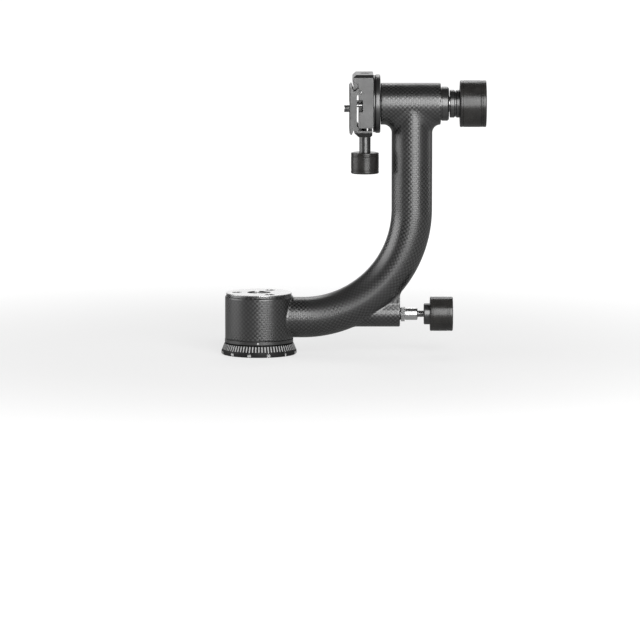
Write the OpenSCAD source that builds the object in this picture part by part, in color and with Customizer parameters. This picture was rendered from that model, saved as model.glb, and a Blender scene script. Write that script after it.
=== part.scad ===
// Gimbal tripod head: a graduated pan base, a one-piece curved carbon arm, a tilt
// housing with a dovetail clamp that swings on it, and three lock knobs.
// Millimetres. The origin is the mouth of the base thread, in the middle of the
// mounting face. +Z is the pan axis, +X points from the pan axis to the upright
// part of the arm, and the tilt axis is parallel to X.

/* [Arm] */
// Radius of the bent tube
tube_r = 17.5; // [16:0.25:19]
// Radius of the bend, on the tube's centre line
bend_r = 94; // [80:1:100]
// Distance from the pan axis to the tube's upright part
reach = 132; // [125:1:145]
// Height of the level part of the tube above the mounting face
arm_h = 31.5; // [31:0.25:33]
// Height of the tilt axis above the mounting face
tilt_h = 216.5; // [195:0.5:240]
// Fillet where the upright tube meets the tilt housing
tee_fillet = 6.5; // [4:0.5:9]
// Fillet where the level tube meets the pan housing
housing_fillet = 2; // [1:0.5:4]

/* [Pan housing] */
// Radius of the carbon pan housing
housing_r = 29.3; // [28.5:0.1:32]
// Height of the carbon pan housing
housing_h = 37.1; // [37:0.1:42]
// Radius of the metal liner in the pan housing
liner_r = 24; // [23.5:0.1:25.5]
// Height of the smooth ring at the liner's foot
rotor_h = 3.3; // [3:0.1:5]
// Radius of the smooth ring at the liner's foot
rotor_r = 29.6; // [28.5:0.1:31]
// Radius of the top cap
cap_r = 28.5; // [26:0.1:28.5]
// Height of the step that carries the top cap
cap_step_h = 1.9; // [1.2:0.1:2.4]
// Thickness of the top cap's rim
cap_t = 0.9; // [0.6:0.1:1.5]
// Number of screws in the top cap
cap_screws_n = 3; // [3:1:4]
// Radius of the circle the cap screws stand on
cap_screw_circle = 19; // [18.5:0.1:19.4]
// Radius of a cap screw's head
cap_head_r = 4.2; // [3:0.1:4.4]
// Radius of a cap screw's shank
cap_shank_r = 1.8; // [1.5:0.1:2]

/* [Base] */
// Largest radius of the graduated ring
scale_r = 32.5; // [29:0.1:36]
// How far the graduated ring's taper brings its top edge in
scale_taper = 2.7; // [1.5:0.1:4]
// Height of the graduated ring
scale_h = 9.5; // [8.5:0.1:12]
// Height at which the graduated ring starts to taper
scale_taper_z = 3; // [2:0.1:4]
// Wall of the graduated ring outside the base flange
scale_wall = 3.5; // [2.5:0.1:5]
// Thickness of the base flange
base_flange_t = 3; // [2.5:0.1:4]
// Width of the graduated ring from its outside to the base disc
scale_w = 10.5; // [9.5:0.1:12]
// Radius of the base thread, 3/8 inch
base_thread_r = 4.7625; // [3.175:0.0001:5]
// Radius of the steel thread insert
insert_r = 7.5; // [6.5:0.1:9]
// Depth of the base thread
insert_h = 12; // [9:0.5:13]
// Distance of the ring screws from the outside of the graduated ring
ring_screw_in = 7; // [6.4:0.1:7.4]
// Radius of a ring screw's head
ring_head_r = 2.8; // [2.4:0.1:3]

/* [Pan bearings] */
// Bore radius of a pan bearing, and radius of the spindle
pan_bore_r = 10; // [9:0.1:10.5]
// Outer radius of a pan bearing
pan_outer_r = 16; // [15.6:0.1:16.4]
// Width of a pan bearing
pan_brg_w = 7; // [6:0.1:7.4]
// Radius of a pan bearing's balls
pan_ball_r = 2; // [1.6:0.05:2.2]
// Number of balls in a pan bearing
pan_ball_n = 11; // [8:1:14]
// Radius of the brake drum on the spindle
drum_r = 13; // [12:0.1:13.6]
// Height of the spindle nut
nut_h = 4.3; // [4:0.1:4.8]
// Radius of the spindle nut's visible top
nut_r = 9.6; // [8.8:0.1:10]
// Radius of the spindle's threaded end
spindle_end_r = 7.2; // [6:0.1:7.6]
// Radius of the bright screw in the spindle's end
lock_screw_r = 2.5; // [2:0.1:3]

/* [Tilt housing] */
// Radius of the carbon tilt housing
tee_r = 18; // [17.5:0.1:19.5]
// Length of the tilt housing towards the clamp, from the upright tube's axis
tee_left = 26.9; // [25:0.1:28]
// Length of the tilt housing towards the tilt knob, from the upright tube's axis
tee_right = 24.6; // [24:0.1:32]
// Radius of the metal sleeve in the tilt housing
sleeve_r = 14.3; // [13.8:0.1:15]
// Bore radius of a tilt bearing, and radius of the tilt shaft
tilt_bore_r = 7.5; // [7.2:0.1:7.8]
// Outer radius of a tilt bearing
tilt_outer_r = 12; // [11.7:0.1:12.3]
// Width of a tilt bearing
tilt_brg_w = 5; // [4.5:0.1:6]
// Radius of a tilt bearing's balls
tilt_ball_r = 1.5; // [1.2:0.05:1.6]
// Number of balls in a tilt bearing
tilt_ball_n = 12; // [8:1:14]
// Radius of the end collar
collar_r = 14.7; // [14.3:0.1:17]
// Length of the end collar
collar_w = 5.9; // [5:0.1:8]

/* [Tilt flange] */
// Radius of the tilt flange
flange_r = 25.2; // [24.9:0.1:28]
// Thickness of the tilt flange
flange_t = 4.6; // [4.4:0.1:6]
// Radius of the thin disc between flange and clamp
disc_r = 24.6; // [24:0.1:28]
// Thickness of the thin disc
disc_t = 1.5; // [1:0.1:2]
// Side of the square end of the tilt shaft
tenon = 11; // [10:0.1:12]
// Radius of the flange bolt's shank
flange_bolt_r = 3; // [2.5:0.1:3.5]

/* [Tilt knob] */
// Radius of the tilt knob
tilt_knob_r = 20.1; // [18:0.1:24]
// Length of the tilt knob's grip
tilt_knob_w = 22.6; // [20:0.1:28]
// Radius of the thrust washer and of the knob's hub
hub_r = 12; // [10.5:0.1:14]
// Width of the thrust washer
washer_w = 4; // [3.5:0.1:5]
// Radius of the threaded end of the tilt shaft
tilt_thread_r = 5; // [4:0.1:5.5]
// Travel that locks the tilt
tilt_lock_travel = 0.7; // [0.4:0.05:0.9]

/* [Clamp] */
// Length of the clamp along the dovetail
clamp_l = 50; // [46:1:70]
// Thickness of the clamp's floor
clamp_t = 12.4; // [12:0.1:14]
// Distance from the tilt axis up to the top of the clamp
clamp_up = 26.3; // [25:0.1:28]
// Distance from the tilt axis down to the foot of the clamp
clamp_down = 19.4; // [19:0.1:20]
// Reach of the jaws in front of the clamp's floor
lip_reach = 5.3; // [5:0.1:6]
// Radius of a clamp bolt's shank
clamp_bolt_r = 2; // [1.6:0.1:2.2]
// Radius of a clamp bolt's head
clamp_head_r = 3.5; // [3:0.1:3.7]
// Radius of the jaw's guide pins
guide_pin_r = 2; // [1.5:0.1:2.2]
// Radius of the clamp screw
clamp_screw_r = 3; // [2.5:0.1:3]
// Length of the clamp screw inside its knob
screw_in_knob = 12; // [9:0.5:13]
// Radius of the retaining ring on the clamp screw's end
retainer_r = 4; // [3.6:0.1:4.3]
// Travel of the moving jaw
jaw_travel = 5; // [3:0.5:6]
// Thickness of the moving jaw
jaw_t = 5.6; // [5:0.1:6.4]

/* [Clamp knob] */
// Radius of the clamp knob
clamp_knob_r = 12.05; // [11.5:0.05:12.6]
// Height of the clamp knob
clamp_knob_h = 18.2; // [16:0.1:22]
// Radius of the neck between jaw and knob
neck_r = 4.85; // [4:0.05:6]
// Length of the neck between jaw and knob
neck_l = 14.8; // [12:0.1:18]

/* [Quick-release plate] */
// Length of the plate along the dovetail
plate_l = 60; // [56:1:90]
// Half the width of the plate's slab
plate_half_w = 20.4; // [20:0.1:22]
// Half the width across the plate's dovetail
dovetail_half_w = 19; // [18.6:0.1:19.4]
// Distance of the plate's centre line below the tilt axis
plate_drop = 4.2; // [4:0.1:4.4]
// Thickness of the plate
plate_t = 7.3; // [7:0.1:8]
// Width of the channel in the back of the plate
channel_w = 26; // [24:0.5:28]
// Slide of the plate to each side
plate_slide = 8; // [4:1:9]
// Radius of the plate's stop pins
stop_pin_r = 1.5; // [1.2:0.1:2]
// Radius of the camera screw, 1/4 inch
camera_screw_r = 3.175; // [3:0.001:3.2]
// Length of the camera screw in front of the plate
camera_screw_l = 5; // [4:0.5:7]

/* [Pan lock] */
// Height of the pan lock's axis above the mounting face
lock_h = 34.4; // [34:0.1:34.8]
// Radius of the boss that carries the pan lock
boss_r = 11.1; // [10:0.1:12.5]
// Distance from the boss's end face to the axis of the upright tube
boss_in = 10.1; // [8:0.1:14]
// Radius of the upper rib that joins boss and tube
rib_r = 8; // [6:0.1:9]
// Height of the upper rib above the pan lock's axis
rib_up = 7.1; // [6:0.1:8]
// Radius of the chrome bush
bush_r = 5.3; // [4.6:0.1:6]
// Length of the chrome bush
bush_l = 11.1; // [8:0.1:14]
// Corner radius of the bush's hexagon
hex_r = 7.1; // [6.6:0.1:8]
// Length of the bush's hexagon
hex_l = 3.1; // [2.5:0.1:4]
// Radius of the lock stud
stud_r = 2.9; // [2.4:0.1:3]
// Stud showing between bush and knob
stud_show = 5.5; // [4:0.1:8]
// Radius of the push rod in the arm
rod_r = 3.5; // [3:0.1:3.6]
// Radius of the brake pad
pad_r = 3.9; // [3.5:0.1:4]
// Travel of the pan lock
lock_travel = 0.8; // [0.4:0.05:1]
// Radius of the pan knob
pan_knob_r = 14.8; // [13:0.1:18]
// Length of the pan knob's grip
pan_knob_w = 19.7; // [17:0.1:24]
// Radius of the boss in front of the pan knob
knob_boss_r = 9.2; // [8:0.1:11]
// Length of the boss in front of the pan knob
knob_boss_w = 5.3; // [4:0.1:7]

/* [Fits] */
// Gap between two pieces of one assembly that are pressed or glued together
fit_gap = 0.05; // [0.03:0.01:0.08]
// Gap round a shaft, pin or screw that moves in its bore
run_gap = 0.08; // [0.05:0.01:0.1]
// Gap between faces that pass each other
face_gap = 0.4; // [0.3:0.05:0.5]
// Gap between a ball and its grooves
ball_gap = 0.15; // [0.1:0.01:0.18]
// Gap left between two faces when a lock is tight
lock_gap = 0.15; // [0.1:0.01:0.2]

/* [Hidden] */
$fn = 72;

carbon = [0.20, 0.20, 0.20];
anodised = [0.10, 0.10, 0.11];
satin = [0.62, 0.62, 0.62];
bright = [0.88, 0.88, 0.88];
rubber = [0.17, 0.17, 0.16];
steel = [0.70, 0.71, 0.73];
brass = [0.78, 0.62, 0.30];

over = 1; // extra length of a cut past the face it opens
edge = 0.6; // small chamfer on turned parts

// Base, all from the outside of the graduated ring
scale_top_r = scale_r - scale_taper;
base_flange_r = scale_r - scale_wall;
base_disc_r = scale_r - scale_w;
ring_screw_circle = scale_r - ring_screw_in;

// Pan axis, from the mounting face up
rotor_z = scale_h + face_gap;
housing_z = rotor_z + rotor_h;
housing_top = housing_z + housing_h;
cap_seat = housing_top + cap_step_h;
cap_step_r = cap_r - 0.3;
cap_top = cap_seat + cap_t;
nut_top = cap_top - 0.9; // the nut stands in a recess of the cap
upper_brg_z = nut_top - nut_h - pan_brg_w;
lower_brg_z = housing_z + 0.8;
lower_brg_top = lower_brg_z + pan_brg_w;
upper_brg_top = upper_brg_z + pan_brg_w;
pan_pitch_r = (pan_bore_r + pan_outer_r) / 2;
race_gap_pan = pan_ball_r / 2; // half the open width between the two rings
hub_up_r = pan_pitch_r - race_gap_pan - 0.2;
shoulder_in_r = pan_pitch_r + race_gap_pan + 0.5;
liner_top = upper_brg_top + face_gap;
nut_flange_t = 1.5;
cap_bore_r = nut_r + 0.6;
cap_head_t = 2.4;
cap_head_top = cap_top - face_gap;
cap_screw_l = 8;
ring_screw_l = 6;
ring_screw_r = ring_head_r / 2;

// Pan lock, along X
boss_x = reach - boss_in;
hex_x = boss_x + 1; // a washer stands between boss and hexagon
lock_washer_r = 5.3;
bush_end = hex_x + hex_l + bush_l;
knob_boss_x = bush_end + stud_show;
pan_knob_x = knob_boss_x + knob_boss_w;
bush_shank_r = 4.4;
bush_shank_l = 9;
rod_end = hex_x - bush_shank_l - 1;
pad_l = 8;
pad_arc_r = drum_r + lock_gap;
pad_face = drum_r + lock_gap + lock_travel;
rod_bore_r = 4.1;
knob_wall = 2.5; // rubber over the core of every knob
knob_end = 2; // depth of the core and its cap behind the rim of the rubber

// Tilt axis, along X
tee_x0 = reach - tee_left;
tee_x1 = reach + tee_right;
flange_x1 = tee_x0 - face_gap;
flange_x0 = flange_x1 - flange_t;
disc_x1 = flange_x0 - fit_gap;
disc_x0 = disc_x1 - disc_t;
clamp_x1 = disc_x0 - fit_gap;
floor_x = clamp_x1 - clamp_t;
lip_x = floor_x - lip_reach;
sleeve_x1 = tee_x1 + 1.1;
collar_x0 = sleeve_x1 + fit_gap;
collar_x1 = collar_x0 + collar_w;
brg_a_x = tee_x0 + 2.4;
brg_b_x = tee_x1 - 3.1 - tilt_brg_w;
brg_b_end = brg_b_x + tilt_brg_w;
tilt_pitch_r = (tilt_bore_r + tilt_outer_r) / 2;
race_gap_tilt = tilt_ball_r / 2 - 0.05;
shaft_shoulder_r = tilt_pitch_r - race_gap_tilt + 0.3;
sleeve_shoulder_r = tilt_pitch_r + race_gap_tilt + 0.2;
journal_r = tilt_bore_r - 0.5;
circlip_w = 1.2;
washer_x = collar_x1 + tilt_lock_travel + lock_gap;
washer_end = washer_x + washer_w;
hub_nose_r = hub_r - 0.8;
hub_x = washer_end + 1.3;
hub_w = 3.4;
tilt_knob_x = hub_x + hub_w;
tilt_thread_end = tilt_knob_x + tilt_knob_w - knob_end - 4;
tenon_l = 2.9;
bolt_head_t = flange_t - tenon_l - fit_gap;
flange_bolt_l = 14;

// Clamp, seen along Y: X is the depth, and u is the height above the plate's centre line
plate_z = tilt_h - plate_drop;
plate_back = floor_x - 0.2;
plate_front = plate_back - plate_t;
foot_t = 0.9; // flat edge of the dovetail's foot
flank = 2.2; // depth of the 45 degree flank
groove_x = plate_back - foot_t - flank; // narrow end of the flank
groove_w = 1.5; // flat bottom of the plate's groove
groove_half_w = dovetail_half_w - flank;
slab_x = groove_x - groove_w - 1.2; // where the slab's edge starts to slope
jaw_gap = 0.2; // between the flanks of jaw and plate
channel_x = plate_back - 1.6; // bottom of the channel in the plate's back
nose_x0 = groove_x - 0.6;
nose_x1 = groove_x + 0.6;
nose_u = dovetail_half_w + jaw_gap - (plate_back - foot_t - nose_x1);
lip_top = clamp_up + plate_drop;
lip_side = lip_top - 2.9; // height where the lip's top chamfer starts
screw_x = floor_x + 5.4;
guide_y = clamp_l / 2 - 4.5;
guide_x = floor_x + 7;
guide_up = 17;
bolt_y = 13;
bolt_u = 11;
clamp_head_t = 4;
clamp_bevel = 2.5; // chamfer along the clamp's upper end edges
jaw_open = 2.2; // gap between the clamp's foot and the moving jaw
jaw_back = 0.9; // the jaw's back stands in from the clamp's
jaw_front = 1.3; // and its front from the fixed lip's
jaw_face = 1.8; // upright part of the jaw's front and ends
jaw_slope = jaw_t - jaw_face; // chamfer below it
jaw_back_slope = 1.5;
jaw_u = clamp_down - plate_drop + jaw_open; // top of the jaw, below the plate's centre line
jaw_foot_u = jaw_u + jaw_t;
jaw_foot_z = plate_z - jaw_foot_u;
guide_foot_z = jaw_foot_z + jaw_slope - 2;
knob_top_z = jaw_foot_z - neck_l;
retainer_t = 1.2;
screw_top = tilt_h + clamp_up - 1.2;
pocket_x = floor_x + 3.3;
pocket_y = plate_slide + 2.4;
stop_y = pocket_y + plate_slide + stop_pin_r + 0.2;
pocket_half_h = 5.2;
end_relief = 2.5; // the jaws are cut back at both ends of the clamp
camera_head_r = 6.5;
camera_head_t = 2.2;
pad_strip_w = 14.4;
pad_strip_t = 0.8;
pad_seat = 0.3;
pad_off = 12.2; // from the plate's centre line to the middle of a pad
pad_inset = 3; // the pads end this far short of the plate's ends
stop_pin_seat = 2.5; // depth of a stop pin in the plate

// Turned piece about Z from a profile of [radius, height] points
module turned(profile) {
    rotate_extrude() polygon(profile);
}

// Ring about Z between two radii and two heights
module ring_z(r_in, r_out, z0, z1) {
    translate([0, 0, z0]) linear_extrude(z1 - z0) difference() {
        circle(r_out);
        circle(r_in);
    }
}

// Turns local +Z to +X, so that a local height is an X
module on_x(y = 0, z = 0) {
    translate([0, y, z]) rotate([0, 90, 0]) children();
}

// Solid rod along X between two X values
module rod_x(r, x0, x1, y = 0, z = 0) {
    on_x(y, z) translate([0, 0, x0]) cylinder(r = r, h = x1 - x0);
}

// Rod or ring about Z with a chamfer on both outer edges
module turned_ring(r_in, r_out, h0, h1, c = edge) {
    turned([
        [r_in, h0], [r_out - c, h0], [r_out, h0 + c],
        [r_out, h1 - c], [r_out - c, h1], [r_in, h1]
    ]);
}

// Bearing ring with a ball groove, standing on height 0
module race(r_a, r_b, width, pitch_r, ball_r) {
    rotate_extrude() difference() {
        translate([r_a, 0]) square([r_b - r_a, width]);
        translate([pitch_r, width / 2]) circle(ball_r + ball_gap);
    }
}

module balls(n, pitch_r, ball_r, width) {
    for (i = [0:n - 1]) rotate([0, 0, 360 * i / n])
        translate([pitch_r, 0, width / 2]) sphere(ball_r);
}

// Ring-shaped fillet where a branch tube leaves a main tube at a right angle. The
// main tube lies on local X, the branch points to local -Z. A ball of radius rho
// rolls round the branch and touches both tubes.
module crossing_fillet(main_r, branch_r, rho, steps = 48, arcs = 5) {
    bite = 0.06;
    ra = main_r - bite;
    rb = branch_r - bite;
    deep = 0.8;
    n = arcs + 2;
    function centre(a) = let(s = (rb + rho) * sin(a), q = ra + rho)
        [(rb + rho) * cos(a), s, -sqrt(q * q - s * s)];
    function on_main(c) = [c.x, c.y * ra / (ra + rho), c.z * ra / (ra + rho)];
    function on_branch(c) = [c.x * rb / (rb + rho), c.y * rb / (rb + rho), c.z];
    function arc_point(c, m, b, f) = let(v = (m - c) * (1 - f) + (b - c) * f)
        c + v * rho / norm(v);
    function inner(m, b) = [b.x * deep, b.y * deep, m.z * deep];
    points = [
        for (i = [0:steps - 1])
            let(c = centre(360 * i / steps), m = on_main(c), b = on_branch(c))
            each concat([for (k = [0:arcs]) arc_point(c, m, b, k / arcs)], [inner(m, b)])
    ];
    faces = [
        for (i = [0:steps - 1], k = [0:n - 1])
            let(a = i * n, b = ((i + 1) % steps) * n, l = (k + 1) % n)
            each [[a + k, b + k, b + l], [a + k, b + l, a + l]]
    ];
    polyhedron(points, faces);
}

// ---- Base ----

// Puts its children on the axis of each ring screw
module ring_screw_places() {
    for (a = [0:120:240]) rotate([0, 0, a]) translate([ring_screw_circle, 0, 0]) children();
}

module scale_ring() {
    color(anodised) difference() {
        turned([
            [base_flange_r + fit_gap, 0], [scale_r - edge, 0], [scale_r, edge],
            [scale_r, scale_taper_z], [scale_top_r, scale_h],
            [base_disc_r + fit_gap, scale_h], [base_disc_r + fit_gap, base_flange_t],
            [base_flange_r + fit_gap, base_flange_t]
        ]);
        ring_screw_places() cylinder(r = ring_screw_r + fit_gap, h = ring_screw_l + over);
    }
}

module base_body() {
    color(anodised) difference() {
        turned([
            [0, 0], [base_flange_r, 0], [base_flange_r, base_flange_t - fit_gap],
            [base_disc_r, base_flange_t - fit_gap], [base_disc_r, scale_h],
            [hub_up_r, scale_h], [hub_up_r, lower_brg_z], [pan_bore_r, lower_brg_z],
            [pan_bore_r, upper_brg_top], [spindle_end_r, upper_brg_top],
            [spindle_end_r, nut_top - edge], [spindle_end_r - edge, nut_top], [0, nut_top]
        ]);
        translate([0, 0, -over]) cylinder(r = insert_r + fit_gap, h = insert_h + over);
        translate([0, 0, nut_top - 10]) cylinder(r = lock_screw_r + fit_gap, h = 10 + over);
        ring_screw_places() {
            translate([0, 0, -over]) cylinder(r = ring_screw_r + fit_gap, h = base_flange_t + over);
            translate([0, 0, -over]) cylinder(r = ring_head_r + fit_gap, h = over);
            cylinder(r1 = ring_head_r + fit_gap, r2 = ring_screw_r + fit_gap, h = ring_head_r / 2);
        }
    }
}

module thread_insert() {
    color(steel) turned([
        [base_thread_r, 0], [insert_r, 0], [insert_r, insert_h], [base_thread_r, insert_h]
    ]);
}

module ring_screws() {
    sunk = 0.2;
    color(steel) ring_screw_places() turned([
        [0, sunk], [ring_head_r - sunk, sunk], [ring_screw_r, ring_head_r / 2],
        [ring_screw_r, ring_screw_l], [0, ring_screw_l]
    ]);
}

module pan_inner_races() {
    color(steel) for (z = [lower_brg_z, upper_brg_z]) translate([0, 0, z])
        race(pan_bore_r + fit_gap, pan_pitch_r - race_gap_pan, pan_brg_w, pan_pitch_r, pan_ball_r);
}

module pan_balls() {
    color(bright) for (z = [lower_brg_z, upper_brg_z]) translate([0, 0, z])
        balls(pan_ball_n, pan_pitch_r, pan_ball_r, pan_brg_w);
}

module brake_drum() {
    color(steel) ring_z(pan_bore_r + fit_gap, drum_r, lower_brg_top, upper_brg_z);
}

module spindle_nut() {
    color(anodised) turned([
        [spindle_end_r + fit_gap, upper_brg_top], [hub_up_r, upper_brg_top],
        [hub_up_r, upper_brg_top + nut_flange_t], [nut_r, upper_brg_top + nut_flange_t],
        [nut_r, nut_top - edge], [nut_r - edge, nut_top], [spindle_end_r + fit_gap, nut_top]
    ]);
}

module spindle_lock_screw() {
    color(bright) turned([
        [0, nut_top - 9], [lock_screw_r, nut_top - 9], [lock_screw_r, nut_top - 0.3],
        [lock_screw_r - 0.3, nut_top], [0, nut_top]
    ]);
}

// ---- Arm ----

// Section of the pan lock's boss: a round boss with a smaller rib above it
module boss_section() {
    lean = asin((boss_r - rib_r) / rib_up);
    circle(boss_r);
    translate([-rib_up, 0]) circle(rib_r);
    polygon([
        [-boss_r * sin(lean), boss_r * cos(lean)],
        [-rib_up - rib_r * sin(lean), rib_r * cos(lean)],
        [-rib_up - rib_r * sin(lean), -rib_r * cos(lean)],
        [-boss_r * sin(lean), -boss_r * cos(lean)]
    ]);
}

module arm_tube() {
    bend_x = reach - bend_r;
    bend_z = arm_h + bend_r;
    rod_x(tube_r, 0, bend_x, z = arm_h);
    translate([bend_x, 0, bend_z]) rotate([90, 0, 0])
        rotate_extrude(angle = 90, start = -90) translate([bend_r, 0]) circle(tube_r);
    translate([reach, 0, bend_z]) cylinder(r = tube_r, h = tilt_h - bend_z);
}

module arm() {
    color(carbon) difference() {
        union() {
            translate([0, 0, housing_z]) turned_ring(0, housing_r, 0, housing_h, 0.7);
            translate([0, 0, housing_top - over]) cylinder(r = cap_step_r, h = cap_step_h + over);
            arm_tube();
            on_x(z = tilt_h) turned_ring(0, tee_r, tee_x0, tee_x1, 0.8);
            on_x(z = lock_h) translate([0, 0, boss_x - 4 * boss_r])
                linear_extrude(4 * boss_r) boss_section();
            translate([reach, 0, tilt_h]) crossing_fillet(tee_r, tube_r, tee_fillet);
            intersection() {
                translate([0, 0, arm_h]) rotate([0, -90, 0])
                    crossing_fillet(housing_r, tube_r, housing_fillet);
                translate([0, 0, housing_z]) cylinder(r = 2 * housing_r, h = housing_h);
            }
        }
        translate([0, 0, housing_z - over])
            cylinder(r = liner_r + fit_gap, h = housing_h + cap_step_h + 2 * over);
        translate([0, 0, -over])
            cylinder(r = rotor_r + face_gap, h = housing_z - fit_gap + over);
        rod_x(sleeve_r + fit_gap, tee_x0 - over, tee_x1 + over, z = tilt_h);
        rod_x(rod_bore_r, 0, boss_x, z = lock_h);
        rod_x(bush_shank_r + fit_gap, hex_x - bush_shank_l - fit_gap, boss_x + over, z = lock_h);
    }
}

module pan_liner() {
    seat_r = pan_outer_r + fit_gap;
    color(anodised) difference() {
        turned([
            [shoulder_in_r, rotor_z], [rotor_r - edge, rotor_z], [rotor_r, rotor_z + edge],
            [rotor_r, housing_z - fit_gap], [liner_r, housing_z - fit_gap], [liner_r, liner_top],
            [seat_r, liner_top], [seat_r, upper_brg_z], [shoulder_in_r, upper_brg_z],
            [shoulder_in_r, lower_brg_top], [seat_r, lower_brg_top], [seat_r, lower_brg_z],
            [shoulder_in_r, lower_brg_z]
        ]);
        rod_x(rod_bore_r, 0, liner_r + over, z = lock_h);
        cap_screw_places() cylinder(r = cap_shank_r + fit_gap, h = cap_screw_l + cap_head_t);
    }
}

// Puts its children at the foot of each cap screw
module cap_screw_places() {
    foot = cap_head_top - cap_head_t - cap_screw_l;
    for (i = [0:cap_screws_n - 1])
        rotate([0, 0, 180 + 360 * i / cap_screws_n])
            translate([cap_screw_circle, 0, foot]) children();
}

module pan_top_cap() {
    color(bright) difference() {
        turned([
            [hub_up_r + 0.6, upper_brg_top], [pan_outer_r - fit_gap, upper_brg_top],
            [pan_outer_r - fit_gap, liner_top + fit_gap], [liner_r - fit_gap, liner_top + fit_gap],
            [liner_r - fit_gap, cap_seat + fit_gap], [cap_r, cap_seat + fit_gap],
            [cap_r, cap_top - 0.3], [cap_r - 0.3, cap_top], [cap_bore_r, cap_top],
            [cap_bore_r, upper_brg_top + nut_flange_t + face_gap],
            [hub_up_r + 0.6, upper_brg_top + nut_flange_t + face_gap]
        ]);
        cap_screw_places() {
            cylinder(r = cap_shank_r + fit_gap, h = cap_screw_l + cap_head_t + over);
            translate([0, 0, cap_screw_l - fit_gap])
                cylinder(r = cap_head_r + fit_gap, h = cap_head_t + face_gap + over);
        }
    }
}

module cap_screws() {
    color(anodised) cap_screw_places() difference() {
        turned([
            [0, 0], [cap_shank_r, 0], [cap_shank_r, cap_screw_l], [cap_head_r, cap_screw_l],
            [cap_head_r, cap_screw_l + cap_head_t - 0.4],
            [cap_head_r - 0.4, cap_screw_l + cap_head_t], [0, cap_screw_l + cap_head_t]
        ]);
        translate([0, 0, cap_screw_l + cap_head_t - 1.6])
            cylinder(r = cap_head_r * 0.48, h = 1.6 + over, $fn = 6);
    }
}

module pan_outer_races() {
    color(steel) for (z = [lower_brg_z, upper_brg_z]) translate([0, 0, z])
        race(pan_pitch_r + race_gap_pan, pan_outer_r, pan_brg_w, pan_pitch_r, pan_ball_r);
}

module tilt_sleeve() {
    seat_r = tilt_outer_r + fit_gap;
    color(anodised) on_x(z = tilt_h) turned([
        [sleeve_shoulder_r, tee_x0 + edge], [sleeve_r, tee_x0 + edge], [sleeve_r, sleeve_x1],
        [seat_r, sleeve_x1], [seat_r, brg_b_x], [sleeve_shoulder_r, brg_b_x],
        [sleeve_shoulder_r, brg_a_x + tilt_brg_w], [seat_r, brg_a_x + tilt_brg_w],
        [seat_r, brg_a_x], [sleeve_shoulder_r, brg_a_x]
    ]);
}

module tilt_end_collar() {
    color(anodised) on_x(z = tilt_h) turned([
        [journal_r + 2.2, brg_b_end], [tilt_outer_r - fit_gap, brg_b_end],
        [tilt_outer_r - fit_gap, collar_x0], [collar_r, collar_x0],
        [collar_r, collar_x1 - 1.2], [collar_r - 1.2, collar_x1],
        [journal_r + 0.3, collar_x1], [journal_r + 0.3, collar_x0], [journal_r + 2.2, collar_x0]
    ]);
}

module tilt_outer_races() {
    color(steel) on_x(z = tilt_h) for (x = [brg_a_x, brg_b_x]) translate([0, 0, x])
        race(tilt_pitch_r + race_gap_tilt, tilt_outer_r, tilt_brg_w, tilt_pitch_r, tilt_ball_r);
}

module lock_bush() {
    color(bright) on_x(z = lock_h) difference() {
        union() {
            translate([0, 0, hex_x - bush_shank_l]) cylinder(r = bush_shank_r, h = bush_shank_l);
            translate([0, 0, hex_x]) rotate([0, 0, 30]) cylinder(r = hex_r, h = hex_l, $fn = 6);
            turned([
                [0, hex_x], [bush_r - 0.5, hex_x], [bush_r - 0.5, hex_x + hex_l + 0.3],
                [bush_r, hex_x + hex_l + 0.6], [bush_r, bush_end - edge],
                [bush_r - edge, bush_end], [0, bush_end]
            ]);
        }
        translate([0, 0, hex_x - bush_shank_l - over])
            cylinder(r = stud_r + run_gap, h = bush_end - hex_x + bush_shank_l + 2 * over);
    }
}

module lock_washer() {
    color(anodised) on_x(z = lock_h)
        turned_ring(bush_shank_r + fit_gap, lock_washer_r, boss_x + fit_gap, hex_x - fit_gap, 0.2);
}

// ---- Tilt group ----

module tilt_shaft() {
    color(steel) difference() {
        union() {
            on_x(z = tilt_h) turned([
                [0, flange_x1], [shaft_shoulder_r, flange_x1], [shaft_shoulder_r, brg_a_x],
                [tilt_bore_r, brg_a_x], [tilt_bore_r, brg_b_end], [journal_r, brg_b_end],
                [journal_r, washer_end - tilt_lock_travel - 0.1],
                [tilt_thread_r, washer_end - tilt_lock_travel - 0.1],
                [tilt_thread_r, tilt_thread_end - edge],
                [tilt_thread_r - edge, tilt_thread_end], [0, tilt_thread_end]
            ]);
            translate([flange_x1 - tenon_l, -tenon / 2, tilt_h - tenon / 2])
                cube([tenon_l + over, tenon, tenon]);
        }
        rod_x(flange_bolt_r + fit_gap, flange_x0, flange_x0 + flange_bolt_l + 2, z = tilt_h);
    }
}

module tilt_flange() {
    color(anodised) difference() {
        on_x(z = tilt_h) turned_ring(0, flange_r, flange_x0, flange_x1 - fit_gap, 0.8);
        translate([flange_x1 - tenon_l - fit_gap, -tenon / 2 - fit_gap, tilt_h - tenon / 2 - fit_gap])
            cube([tenon_l + over, tenon + 2 * fit_gap, tenon + 2 * fit_gap]);
        rod_x(tenon * 0.62, flange_x0 - over, flange_x1 - tenon_l, z = tilt_h);
        clamp_bolt_places() rod_x(clamp_bolt_r + fit_gap, flange_x0 - over, flange_x1 - 0.9);
    }
}

module flange_bolt() {
    color(steel) on_x(z = tilt_h) turned([
        [0, flange_x0 + fit_gap], [tenon * 0.58, flange_x0 + fit_gap],
        [tenon * 0.58, flange_x0 + bolt_head_t], [flange_bolt_r, flange_x0 + bolt_head_t],
        [flange_bolt_r, flange_x0 + flange_bolt_l], [0, flange_x0 + flange_bolt_l]
    ]);
}

module flange_disc() {
    color(satin) difference() {
        on_x(z = tilt_h) turned_ring(0, disc_r, disc_x0, disc_x1, 0.3);
        clamp_bolt_places() rod_x(clamp_bolt_r + fit_gap, disc_x0 - over, disc_x1 + over);
    }
}

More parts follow.
